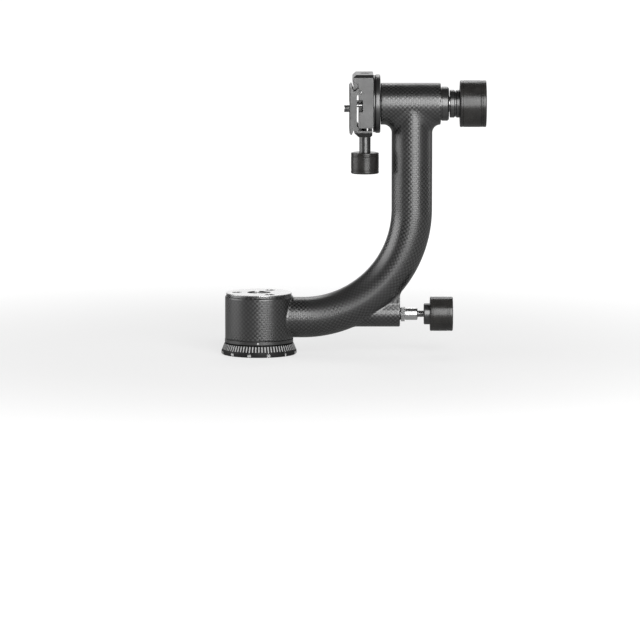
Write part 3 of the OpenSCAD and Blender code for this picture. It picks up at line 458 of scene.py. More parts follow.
class Effect(Graph):
    """A shader node group with named inputs and outputs, built once and used by many materials."""

    def __init__(self, name: str, inputs: dict[str, object], outputs: dict[str, str]) -> None:
        """Makes the group.

        Args:
            name: the group's name.
            inputs: each input's default: a number, or three for a vector.
            outputs: each output's kind: Float, Vector or Color.
        """
        super().__init__(bpy.data.node_groups.new(name, "ShaderNodeTree"))
        for key, value in inputs.items():
            kind = "NodeSocketFloat" if isinstance(value, float) else "NodeSocketVector"
            socket = self.tree.interface.new_socket(key, in_out="INPUT", socket_type=kind)
            socket.default_value = value
        for key, kind in outputs.items():
            self.tree.interface.new_socket(key, in_out="OUTPUT", socket_type=f"NodeSocket{kind}")
        self.inputs = self.add("NodeGroupInput").outputs
        self.result = self.add("NodeGroupOutput").inputs

    def give(self, **results: object) -> bpy.types.NodeTree:
        """Wires the outputs, with _ standing for a space in their names, and returns the group.

        Args:
            results: what goes to each output: a socket or a value.

        Returns:
            The finished group.
        """
        for key, value in results.items():
            self.feed(self.result[key.replace("_", " ")], value)
        return self.tree


def about_axis_effect() -> bpy.types.NodeTree:
    """Measures a place from a turning axis: how far along it, and how far out from it.

    Returns:
        The group, with both lengths as outputs.
    """
    g = Effect(
        "about_axis",
        {"Place": (0.0, 0.0, 0.0), "Point": (0.0, 0.0, 0.0), "Direction": (0.0, 0.0, 1.0)},
        {"Along": "Float", "Radius": "Float"},
    )
    away = g.vector("SUBTRACT", g.inputs["Place"], g.inputs["Point"])
    along = g.vector("DOT_PRODUCT", away, g.inputs["Direction"], out=1)
    scaled = g.add("ShaderNodeVectorMath", {0: g.inputs["Direction"], "Scale": along}, operation="SCALE")
    out = g.vector("SUBTRACT", away, scaled.outputs[0])
    return g.give(Along=along, Radius=g.vector("LENGTH", out, out=1))


def turning_effect() -> bpy.types.NodeTree:
    """Fine lines that a lathe leaves: rings on faces and threads of light round the sides.

    Returns:
        The group, with the lines' height and their slow streaks, from 0 to 1.
    """
    g = Effect(
        "turning_lines",
        {"Along": 0.0, "Radius": 0.0, "Pitch": 0.0002},
        {"Height": "Float", "Streak": "Float"},
    )
    travel = g.math("ADD", g.inputs["Along"], g.inputs["Radius"])
    lines = g.math("DIVIDE", travel, g.inputs["Pitch"])
    fine = g.line_noise(lines, scale=1.0, detail=1.0)
    broad = g.line_noise(lines, scale=0.11, detail=2.0)
    fine_share = 0.7
    return g.give(Height=g.blend_numbers(fine_share, broad, fine), Streak=g.spread(broad, 0.3, 0.7))


def grain_effect() -> bpy.types.NodeTree:
    """Surface grain of a given size, with a slower mottle over it.

    Returns:
        The group, with the grain's height, the mottle and rare specks, from 0 to 1.
    """
    g = Effect(
        "grain",
        {"Place": (0.0, 0.0, 0.0), "Size": 0.0003},
        {"Height": "Float", "Mottle": "Float", "Speck": "Float"},
    )
    mottle_scale = 0.035
    scale = g.math("DIVIDE", 1.0, g.inputs["Size"])
    fine = g.noise(g.inputs["Place"], scale, detail=3.0)
    slow = g.noise(g.inputs["Place"], g.math("MULTIPLY", scale, mottle_scale), detail=3.0)
    return g.give(Height=fine, Mottle=g.spread(slow, 0.3, 0.7), Speck=g.spread(fine, 0.62, 0.75))


def handling_effect() -> bpy.types.NodeTree:
    """Soft patches where hands have polished a surface, and faint dust that gathers between them.

    Returns:
        The group, with a mask for the patches and one for the dust.
    """
    g = Effect("handling", {"Place": (0.0, 0.0, 0.0), "Size": 0.03}, {"Polish": "Float", "Dust": "Float"})
    dust_scale = 45.0
    scale = g.math("DIVIDE", 1.0, g.inputs["Size"])
    patches = g.noise(g.inputs["Place"], scale, detail=4.0)
    specks = g.noise(g.inputs["Place"], g.math("MULTIPLY", scale, dust_scale), detail=1.0)
    up = g.add("ShaderNodeSeparateXYZ", {0: g.add("ShaderNodeNewGeometry").outputs["Normal"]}).outputs[2]
    settled = g.math("MULTIPLY", g.spread(specks, 0.66, 0.8), g.spread(up, 0.1, 0.9))
    return g.give(Polish=g.spread(patches, 0.35, 0.65), Dust=settled)


def worn_edge_effect() -> bpy.types.NodeTree:
    """Eases sharp edges by a small radius and finds where they are rubbed bright.

    Returns:
        The group, with the eased normal and a mask for the rubbed edges.
    """
    g = Effect(
        "worn_edge",
        {"Place": (0.0, 0.0, 0.0), "Radius": 0.0003},
        {"Normal": "Vector", "Edge": "Float"},
    )
    eased = g.add("ShaderNodeBevel", {"Radius": g.inputs["Radius"]}, samples=4).outputs[0]
    plain = g.add("ShaderNodeNewGeometry").outputs["Normal"]
    turned_away = g.math("SUBTRACT", 1.0, g.vector("DOT_PRODUCT", eased, plain, out=1))
    broken = g.noise(g.inputs["Place"], scale=700.0, detail=3.0)
    sharp, patchy = g.spread(turned_away, 0.02, 0.2), g.spread(broken, 0.35, 0.6, to_low=0.25)
    return g.give(Normal=eased, Edge=g.math("MULTIPLY", sharp, patchy))


def tow_weave_effect() -> bpy.types.NodeTree:
    """Plain weave laid along and round a piece, from a map in millimetres: tows over and under.

    Returns:
        The group, with the tows' height and masks for the upper tows of one direction, which the carbon
        finish paints with sheen, and for gaps and fibres.
    """
    g = Effect(
        "tow_weave",
        {"Map": (0.0, 0.0, 0.0), "Tow": TOW_WIDTH},
        {"Height": "Float", "Warp": "Float", "Gap": "Float", "Fibre": "Float"},
    )
    split = g.add("ShaderNodeSeparateXYZ", {0: g.inputs["Map"]})
    a = g.math("DIVIDE", split.outputs[0], g.inputs["Tow"])
    b = g.math("DIVIDE", split.outputs[1], g.inputs["Tow"])
    column, row = g.math("FLOOR", a), g.math("FLOOR", b)
    parity = g.math("FLOORED_MODULO", g.math("ADD", column, row), 2.0)
    # Where the carbon finish puts its painted sheen: the upper tows of one direction.
    warp = g.math("GREATER_THAN", parity, 0.5)
    fa, fb = g.math("FRACT", a), g.math("FRACT", b)
    across, along = g.blend_numbers(warp, fb, fa), g.blend_numbers(warp, fa, fb)

    def crown(share: bpy.types.NodeSocket) -> bpy.types.NodeSocket:
        """1 in the middle of a cell and 0 at its borders, as a parabola."""
        centred = g.math("SUBTRACT", g.math("MULTIPLY", share, 2.0), 1.0)
        return g.math("SUBTRACT", 1.0, g.math("MULTIPLY", centred, centred))

    strands_per_tow, tow_shift, fibre_height, round_share = 9.0, 31.7, 0.06, 0.7
    side, length = crown(across), crown(along)
    shifted = g.math("MULTIPLY", column, tow_shift)
    strands = g.math("ADD", g.math("MULTIPLY", across, strands_per_tow), shifted)
    fibre = g.line_noise(strands, scale=1.0, detail=2.0)
    height = g.blend_numbers(round_share, length, side)
    return g.give(
        Height=g.math("ADD", height, g.math("MULTIPLY", fibre, fibre_height)),
        Warp=warp,
        Gap=g.spread(g.math("MINIMUM", side, length), 0.0, 0.3, 1.0, 0.0),
        Fibre=fibre,
    )


EFFECT_MAKERS: dict[str, Callable[[], bpy.types.NodeTree]] = {
    "about_axis": about_axis_effect,
    "turning_lines": turning_effect,
    "grain": grain_effect,
    "handling": handling_effect,
    "worn_edge": worn_edge_effect,
    "tow_weave": tow_weave_effect,
}


# ---------------------------------------------------------------- finishes


class FinishGraph(Graph):
    """The node tree of one material, with its Principled shader and its effects."""

    def __init__(self, material: bpy.types.Material) -> None:
        """Empties a material's tree and puts in the shader and the object coordinates.

        Args:
            material: the material.
        """
        material.use_nodes = True
        super().__init__(material.node_tree)
        self.tree.nodes.clear()
        self.shader = self.add("ShaderNodeBsdfPrincipled")
        output = self.add("ShaderNodeOutputMaterial")
        self.tree.links.new(self.shader.outputs[0], output.inputs[0])
        self.coordinates = self.add("ShaderNodeTexCoord")
        self.place = self.coordinates.outputs["Object"]

    def effect(self, name: str, **feeds: object) -> bpy.types.bpy_prop_collection:
        """Places a shared effect, and returns its outputs.

        Args:
            name: a key of EFFECT_MAKERS.
            feeds: what goes into its inputs: a socket or a value.

        Returns:
            Its outputs, by name.
        """
        tree = bpy.data.node_groups.get(name) or EFFECT_MAKERS[name]()
        node = self.add("ShaderNodeGroup", node_tree=tree)
        for key, value in feeds.items():
            self.feed(node.inputs[key], value)
        return node.outputs

    def raise_by(self, height: object, distance: float, normal: object = None) -> bpy.types.NodeSocket:
        """A normal bent by a height, where a height of 1 stands distance metres tall.

        Args:
            height: the height.
            distance: how tall a height of 1 stands.
            normal: the normal to bend, or None for the surface's own.

        Returns:
            The bent normal.
        """
        feeds = {"Height": height, "Distance": distance, "Strength": 1.0}
        if normal is not None:
            feeds["Normal"] = normal
        return self.add("ShaderNodeBump", feeds).outputs[0]

    def tint(self, base: object, colour: Colour, mask: object, share: float) -> bpy.types.NodeSocket:
        """Takes a base colour towards another where a mask is 1, as far as share."""
        return self.blend_colours(self.math("MULTIPLY", mask, share), base, colour)

    def shift(self, base: object, mask: object, amount: float) -> bpy.types.NodeSocket:
        """Adds an amount to a number where a mask is 1."""
        return self.math("ADD", base, self.math("MULTIPLY", mask, amount))

    def set_shader(self, **values: object) -> None:
        """Feeds the Principled shader, with _ standing for a space in the names of its inputs."""
        for key, value in values.items():
            self.feed(self.shader.inputs[key.replace("_", " ")], value)


def grey(level: float, warm: float = 0.0) -> Colour:
    """A near-neutral linear colour, warmer where warm is above 0."""
    return (level * (1 + warm), level, level * (1 - warm), 1.0)


@dataclass(frozen=True)
class Finish:
    """What a surface is made of. Lengths are in metres.

    Attributes:
        name: the material's name, or the first part of it.
        roughness: roughness of a clean face.
        uneven: how far the grain changes the roughness.
        grain_size: size of the surface grain.
        grain_depth: how deep it is.
        handled: size of the patches that hands polish.
        polish: how much smoother those patches are.
        edge_radius: how far sharp edges are eased.
        edge_share: how far a rubbed edge goes to its own colour.
        specular: specular level of the part that isn't metallic.
    """

    name: str
    _: KW_ONLY
    roughness: float = 0.3
    uneven: float = 0.1
    grain_size: float = 0.0003
    grain_depth: float = 0.00001
    handled: float = 0.02
    polish: float = 0.05
    edge_radius: float = 0.0003
    edge_share: float = 0.5
    specular: float = 0.5

    def title(self, spindle: Spindle) -> str:
        """The material's name. A finish without an axis of its own has one material."""
        return self.name

    def wire(self, g: FinishGraph, spindle: Spindle) -> None:
        """Wires the shader of a new material.

        Args:
            g: the material's graph.
            spindle: the axis that the pieces are turned about.
        """
        raise NotImplementedError

    def material(self, spindle: Spindle = Spindle.PAN) -> bpy.types.Material:
        """The material for pieces turned about an axis, made on first use.

        Args:
            spindle: the axis.

        Returns:
            The material.
        """
        made = bpy.data.materials.get(self.title(spindle))
        if made is None:
            made = bpy.data.materials.new(self.title(spindle))
            self.wire(FinishGraph(made), spindle)
        return made


@dataclass(frozen=True)
class TurnedFinish(Finish):
    """A machined and anodised, plated or bare metal, with lathe lines about its own axis.

    Attributes:
        dark: colour where the finish is thickest.
        light: colour where it is thinnest.
        bright_edge: colour of a rubbed edge.
        metallic: how metallic the surface is.
        lines_pitch: spacing of the lathe lines.
        lines_depth: how deep they are.
    """

    dark: Colour
    light: Colour
    bright_edge: Colour
    _: KW_ONLY
    metallic: float = 1.0
    lines_pitch: float = 0.00022
    lines_depth: float = 0.000006
    grain_size: float = 0.00025
    grain_depth: float = 0.000006
    uneven: float = 0.12

    def title(self, spindle: Spindle) -> str:
        """The material's name: the lathe lines need one material for each axis."""
        return f"{self.name}_{spindle.name.lower()}"

    def wire(self, g: FinishGraph, spindle: Spindle) -> None:
        """Wires lathe lines, grain, handling and rubbed edges.

        Args:
            g: the material's graph.
            spindle: the axis that the pieces are turned about.
        """
        grain = g.effect("grain", Place=g.place, Size=self.grain_size)
        axis = g.effect(
            "about_axis",
            Place=g.place,
            Point=tuple(spindle.point * METRES_PER_MM),
            Direction=tuple(spindle.direction),
        )
        lines = g.effect("turning_lines", Along=axis["Along"], Radius=axis["Radius"], Pitch=self.lines_pitch)
        handling = g.effect("handling", Place=g.place, Size=self.handled)
        edge = g.effect("worn_edge", Place=g.place, Radius=self.edge_radius)
        tone = g.blend_numbers(0.5, grain["Mottle"], lines["Streak"])
        colour = g.blend_colours(tone, self.dark, self.light)
        rough = g.shift(self.roughness, g.math("SUBTRACT", grain["Height"], 0.5), self.uneven)
        lathe = g.raise_by(lines["Height"], self.lines_depth, normal=edge["Normal"])
        g.set_shader(
            Base_Color=g.tint(colour, self.bright_edge, edge["Edge"], self.edge_share),
            Metallic=self.metallic,
            Roughness=g.shift(rough, handling["Polish"], -self.polish),
            Specular_IOR_Level=self.specular,
            Normal=g.raise_by(grain["Height"], self.grain_depth, normal=lathe),
        )


@dataclass(frozen=True)
class BlastedFinish(Finish):
    """A milled metal that is bead-blasted before it is anodised: even, satin, slightly sparkling.

    Attributes:
        dark: colour in the pits.
        light: colour on the peaks.
        bright_edge: colour of a rubbed edge.
        metallic: how metallic the surface is.
        mottle: share of the slow mottle in the colour, where the rest follows the grain.
    """

    dark: Colour
    light: Colour
    bright_edge: Colour
    _: KW_ONLY
    metallic: float = 0.85
    mottle: float = 0.3
    grain_depth: float = 0.00002
    handled: float = 0.015
    polish: float = 0.06
    edge_radius: float = 0.00035
    edge_share: float = 0.6

    def wire(self, g: FinishGraph, spindle: Spindle) -> None:
        """Wires the blasted grain, handling and rubbed edges.

        Args:
            g: the material's graph.
            spindle: an axis, which this finish doesn't follow.
        """
        grain = g.effect("grain", Place=g.place, Size=self.grain_size)
        handling = g.effect("handling", Place=g.place, Size=self.handled)
        edge = g.effect("worn_edge", Place=g.place, Radius=self.edge_radius)
        tone = g.blend_numbers(self.mottle, grain["Height"], grain["Mottle"])
        colour = g.blend_colours(tone, self.dark, self.light)
        rough = g.shift(self.roughness, grain["Height"], self.uneven)
        g.set_shader(
            Base_Color=g.tint(colour, self.bright_edge, edge["Edge"], self.edge_share),
            Metallic=self.metallic,
            Roughness=g.shift(rough, handling["Polish"], -self.polish),
            Normal=g.raise_by(grain["Height"], self.grain_depth, normal=edge["Normal"]),
        )


@dataclass(frozen=True)
class RubberFinish(Finish):
    """Matt moulded rubber with a fine skin and a little dust.

    Attributes:
        dark: colour of the clean rubber.
        light: colour where it is rubbed.
        dust: colour of the dust.
        dust_share: how far the dust hides the rubber.
    """

    dark: Colour
    light: Colour
    dust: Colour
    _: KW_ONLY
    dust_share: float = 0.35
    grain_size: float = 0.00035
    grain_depth: float = 0.00003
    handled: float = 0.012
    polish: float = 0.1
    specular: float = 0.4

    def wire(self, g: FinishGraph, spindle: Spindle) -> None:
        """Wires the moulded skin and its dust.

        Args:
            g: the material's graph.
            spindle: an axis, which this finish doesn't follow.
        """
        grain = g.effect("grain", Place=g.place, Size=self.grain_size)
        handling = g.effect("handling", Place=g.place, Size=self.handled)
        colour = g.blend_colours(grain["Mottle"], self.dark, self.light)
        g.set_shader(
            Base_Color=g.tint(colour, self.dust, handling["Dust"], self.dust_share),
            Roughness=g.shift(self.roughness, handling["Polish"], -self.polish),
            Specular_IOR_Level=self.specular,
            Normal=g.raise_by(grain["Height"], self.grain_depth),
        )


@dataclass(frozen=True)
class WovenFinish(Finish):
    """Woven carbon under a satin resin, from the piece's own map, with painted sheen and painted shade on its
    two tow directions.

    Attributes:
        warp: colour of the tows that run one way, painted lighter as a sheen for how their fibres catch the
            light.
        weft_painted_shade: colour of the tows that run the other way, painted darker as shade; the two are
            lit and shaded copies of one carbon.
        resin: colour of the resin between them.
        tow: width of a tow, in millimetres of the map.
        crown: how high a tow stands.
        lean: slope by which the two directions lean apart.
        warp_roughness: roughness along one direction.
        weft_roughness: roughness along the other.
        ior: refraction of the resin.
        coat: weight of the clear coat.
        coat_roughness: its roughness.
        fibre_share: how far single fibres darken a tow.
        gap_share: how far the gaps between tows go to the resin's colour.
    """

    warp: Colour
    weft_painted_shade: Colour
    resin: Colour
    _: KW_ONLY
    tow: float = TOW_WIDTH
    crown: float = 0.00003
    lean: float = 0.042
    warp_roughness: float = 0.35
    weft_roughness: float = 0.27
    ior: float = 1.8
    coat: float = 0.15
    coat_roughness: float = 0.3
    fibre_share: float = 0.35
    gap_share: float = 0.8
    grain_size: float = 0.0004
    handled: float = 0.04
    specular: float = 0.7
    uneven: float = 0.06

    def wire(self, g: FinishGraph, spindle: Spindle) -> None:
        """Wires the weave, whose two directions lean apart, under the resin.

        Args:
            g: the material's graph.
            spindle: an axis, which this finish doesn't follow.
        """
        weave = g.effect("tow_weave", Map=g.coordinates.outputs["UV"], Tow=self.tow)
        grain = g.effect("grain", Place=g.place, Size=self.grain_size)
        handling = g.effect("handling", Place=g.place, Size=self.handled)
        # Painted sheen and painted shade: the two tow directions take a lighter and a darker copy of one
        # carbon colour.
        tows = g.blend_colours(weave["Warp"], self.weft_painted_shade, self.warp)
        shaded = g.tint(tows, self.resin, weave["Fibre"], self.fibre_share)
        rough = g.blend_numbers(weave["Warp"], self.weft_roughness, self.warp_roughness)
        rough = g.shift(rough, handling["Polish"], -self.polish)
        woven = g.raise_by(weave["Height"], self.crown)
        round_it = g.add("ShaderNodeTangent", direction_type="UV_MAP").outputs[0]
        aside = g.vector("MULTIPLY", round_it, g.blend_numbers(weave["Warp"], -self.lean, self.lean))
        leaning = g.vector("NORMALIZE", g.vector("ADD", woven, aside))
        g.set_shader(
            Base_Color=g.tint(shaded, self.resin, weave["Gap"], self.gap_share),
            Roughness=g.shift(rough, grain["Height"], self.uneven),
            IOR=self.ior,
            Specular_IOR_Level=self.specular,
            Coat_Weight=self.coat,
            Coat_Roughness=self.coat_roughness,
            Normal=g.raise_by(grain["Height"], self.grain_depth, normal=leaning),
        )


@dataclass(frozen=True)
class PaintFinish(Finish):
    """Filled paint in an engraved mark.

    Attributes:
        fresh: colour of the paint.
        worn: colour where it is thin.
        worn_share: how far the worn specks go to that colour.
    """

    fresh: Colour
    worn: Colour
    _: KW_ONLY
    worn_share: float = 0.5
    grain_size: float = 0.00015
    roughness: float = 0.45
    uneven: float = 0.15

    def wire(self, g: FinishGraph, spindle: Spindle) -> None:
        """Wires the paint and its worn specks.

        Args:
            g: the material's graph.
            spindle: an axis, which this finish doesn't follow.
        """
        grain = g.effect("grain", Place=g.place, Size=self.grain_size)
        g.set_shader(
            Base_Color=g.tint(self.fresh, self.worn, grain["Speck"], self.worn_share),
            Roughness=g.shift(self.roughness, grain["Height"], self.uneven),
            Normal=g.raise_by(grain["Height"], self.grain_depth),
        )


BLACK_ANODISED = TurnedFinish(
    "black_anodised", grey(0.13), grey(0.18), grey(0.4), edge_share=0.15, metallic=0.9, roughness=0.33
)
MATT_BLACK = TurnedFinish(
    "matt_black", grey(0.014), grey(0.022), grey(0.2),
    edge_share=0.1, metallic=0.0, roughness=0.5, specular=0.25,
)
BRIGHT_CAP = TurnedFinish(
    "bright_cap", grey(0.72), grey(0.86), grey(0.95),
    edge_share=0.6, roughness=0.26, lines_pitch=0.00035, lines_depth=0.00001,
)
TURNED_STEEL = TurnedFinish(
    "turned_steel", grey(0.42), grey(0.56), grey(0.75),
    roughness=0.28, lines_pitch=0.0003, lines_depth=0.00001,
)
CHROME = TurnedFinish(
    "chrome", grey(0.85), grey(0.9), grey(0.97),
    edge_share=0.4, roughness=0.28, lines_pitch=0.0004, lines_depth=0.000002,
    grain_size=0.0004, grain_depth=0.000001,
)
SATIN_DISC = TurnedFinish("satin_disc", grey(0.11), grey(0.15), grey(0.4), edge_share=0.3, metallic=0.9)
BRASS = TurnedFinish(
    "turned_brass", (0.58, 0.42, 0.16, 1.0), (0.72, 0.55, 0.25, 1.0), (0.9, 0.75, 0.45, 1.0)
)
BLASTED_GREY = BlastedFinish("blasted_grey", grey(0.1), grey(0.16), grey(0.5))
KNOB_RUBBER = RubberFinish("knob_rubber", grey(0.02, 0.05), grey(0.03, 0.06), grey(0.3), specular=0.75)
PAD_RUBBER = RubberFinish(
    "pad_rubber", grey(0.022), grey(0.034), grey(0.3),
    roughness=0.75, grain_size=0.0006, grain_depth=0.00008,
)
# Painted sheen on one tow direction and painted shade on the other, then the resin.
WOVEN_CARBON = WovenFinish("woven_carbon", grey(0.046), grey(0.007), grey(0.004))
DIAL_PAINT = PaintFinish("dial_paint", grey(0.55), grey(0.35))
WHITE_PAINT = PaintFinish("white_paint", grey(0.85), grey(0.6))


# ---------------------------------------------------------------- fitting pieces to the frame


def dress(finish: Finish, spindle: Spindle, *nodes: str) -> None:
    """Gives carried-over nodes that share an axis their finish.

    Args:
        finish: their finish.
        spindle: the axis.
        nodes: their names.
    """
    for node in nodes:
        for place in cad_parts[node].material_slots:
            place.material = finish.material(spindle)
        LOG.info("node %s: %s", node, finish.name)


def fit(
    piece: bpy.types.Object,
    body: str,
    slot: str,
    finish: Finish,
    spindle: Spindle = Spindle.PAN,
    replaces: Sequence[str] = (),
) -> bpy.types.Object:
    """Gives a new piece its finish and its body.

    Args:
        piece: the piece, already in place.
        body: the body it rides on.
        slot: the record's material slot. It is not used.
        finish: its finish.
        spindle: the axis it was turned about.
        replaces: the nodes that it stands for.

    Returns:
        The piece.
    """
    piece.data.materials.clear()
    piece.data.materials.append(finish.material(spindle))
    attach(piece, body)
    if replaces:
        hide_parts(*replaces)
    LOG.info("piece %s rides on %s", piece.name, body)
    return piece


def turned_span(node: str, upright: bool = False) -> tuple[float, float, float]:
    """Where a turned node starts and ends along its axis, and its radius, in millimetres.

    Args:
        node: its name.
        upright: True where its axis is upright, False where it is level.

    Returns:
        Its start, its end and its radius.
    """
    low, high = (np.array(corner) / METRES_PER_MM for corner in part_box(node))
    axis = 2 if upright else 0
    return float(low[axis]), float(high[axis]), float(high[1] - low[1]) / 2


# ---------------------------------------------------------------- graduated base


@dataclass
class GraduatedBase:
    """The part that stays still: the ring with its scale, the spindle and its inner parts.

    Attributes:
        ring_r: largest radius of the ring.
        taper: how far its top edge is drawn in.
        taper_z: height where the taper starts.
        ring_h: height of the ring.
        tick_step_deg: angle between marks.
        major_step_deg: angle between long, numbered marks.
        phase_deg: turn of the scale from the front.
        first_number: the number at that turn.
        tick_w: width of a mark.
        tick_low: foot of a short mark.
        major_low: foot of a long mark.
        tick_top: top of the marks.
        digit_h: height of the numbers.
        digit_z: height of the numbers' middle.
        thread_r: radius of the base thread.
        thread_pitch: pitch of the base thread, 16 to the inch.
        insert_r: radius of the insert.
        insert_h: height of the insert.
    """

    ring_r: float = 32.5
    taper: float = 2.7
    taper_z: float = 3.0
    ring_h: float = 9.5
    tick_step_deg: float = 5.0
    major_step_deg: float = 30.0
    phase_deg: float = 15.5
    first_number: int = 30
    tick_w: float = 1.0
    tick_low: float = 4.5
    major_low: float = 2.9
    tick_top: float = 9.1
    digit_h: float = 2.4
    digit_z: float = 1.5
    thread_r: float = 4.7625
    thread_pitch: float = 1.5875
    insert_r: float = 7.5
    insert_h: float = 12.0

    def radius_at(self, z: float) -> float:
        """The ring's outside radius at a height."""
        share = max(0.0, z - self.taper_z) / (self.ring_h - self.taper_z)
        return self.ring_r - self.taper * share

    def marks(self) -> bpy.types.Object:
        """The painted marks of the scale, as thin inlays on the taper.

        Returns:
            One piece with all the marks.
        """
        points: list[list[float]] = []
        faces: list[list[int]] = []
        for n in range(round(360 / self.tick_step_deg)):
            major = (n * self.tick_step_deg) % self.major_step_deg == 0
            turn = math.radians(FRONT_DEG + self.phase_deg + n * self.tick_step_deg)
            low = self.major_low if major else self.tick_low
            start = len(points)
            for z in (low, self.tick_top):
                for depth in (-PAINT_SUNK, PAINT_PROUD):
                    r = self.radius_at(z) + depth
                    for side in (-0.5, 0.5):
                        a = turn + side * self.tick_w / r
                        points.append([r * math.cos(a), r * math.sin(a), z])
            faces.extend([start + i for i in side] for side in BLOCK_SIDES)
        return mesh_piece("scale_marks", np.array(points), faces)

    def numbers(self) -> bpy.types.Object:
        """The numbers under the long marks, bent round the ring's foot.

        Returns:
            One piece with all the numbers.
        """
        points: list[np.ndarray] = []
        faces: list[list[int]] = []
        for n in range(round(360 / self.major_step_deg)):
            value = (self.first_number - n * round(self.major_step_deg)) % 360
            flat, polygons = solid_text(str(value), self.digit_h, PAINT_SUNK + PAINT_PROUD)
            turn = math.radians(FRONT_DEG + self.phase_deg + n * self.major_step_deg)
            r = self.ring_r - PAINT_SUNK + flat[:, 2]
            a = turn + flat[:, 0] / self.ring_r
            start = sum(len(p) for p in points)
            points.append(np.stack([r * np.cos(a), r * np.sin(a), self.digit_z + flat[:, 1]], axis=1))
            faces.extend([start + i for i in polygon] for polygon in polygons)
        return mesh_piece("scale_numbers", np.concatenate(points), faces)

    def insert(self) -> bpy.types.Object:
        """The steel insert with its 3/8 inch thread.

        Returns:
            The insert, in its place.
        """
        bore, r, h = self.thread_r, self.insert_r, self.insert_h
        lead_in, rim, blank, cut = 0.5, 0.2, 0.3, 0.6
        outline = [
            (bore, lead_in), (bore + lead_in, 0.0), (r - rim, 0.0), (r, rim),
            (r, h - rim), (r - rim, h), (bore + lead_in, h), (bore, h - lead_in),
        ]
        thread = ScrewThread(bore, blank, h - blank, self.thread_pitch, cut)
        step = self.thread_pitch / 7
        return revolve("base_thread_insert", outline, Spindle.PAN, steps=72, step=step, relief=thread)

    def build(self) -> None:
        """Dresses the nodes, cuts the thread and adds the scale."""
        dress(MATT_BLACK, Spindle.PAN, "scale_ring", "spindle_nut")
        dress(BLACK_ANODISED, Spindle.PAN, "base_body")
        dress(TURNED_STEEL, Spindle.PAN, "ring_screws", "pan_inner_races", "brake_drum", "spindle_lock_screw")
        dress(CHROME, Spindle.PAN, "pan_balls")
        fit(self.insert(), "base", "steel", TURNED_STEEL, replaces=["thread_insert"])
        fit(self.marks(), "base", "anodised_black", DIAL_PAINT)
        fit(self.numbers(), "base", "anodised_black", WHITE_PAINT)


def solid_text(text: str, height: float, depth: float) -> tuple[np.ndarray, list[list[int]]]:
    """Makes solid figures from Blender's own plain font.

    Args:
        text: what they say.
        height: their height in millimetres.
        depth: their thickness in millimetres.

    Returns:
        Vertices in millimetres, centred in X and Y and standing on Z 0, and faces.
    """
    bolder, curve_steps = 0.03, 3
    curve = bpy.data.curves.new("figures", "FONT")
    curve.body = text
    curve.extrude = 0.5
    curve.offset = bolder
    curve.resolution_u = curve_steps
    holder = bpy.data.objects.new("figures", curve)
    mesh = bpy.data.meshes.new_from_object(holder)
    points = np.array([v.co for v in mesh.vertices], float).reshape(-1, 3)
    faces = [list(p.vertices) for p in mesh.polygons]
    bpy.data.objects.remove(holder)
    bpy.data.curves.remove(curve)
    bpy.data.meshes.remove(mesh)
    low, high = points.min(0), points.max(0)
    points[:, :2] -= (low + high)[:2] / 2
    points[:, :2] *= height / (high[1] - low[1])
    points[:, 2] = (points[:, 2] - low[2]) * depth / (high[2] - low[2])
    return points, faces


# ---------------------------------------------------------------- carbon arm


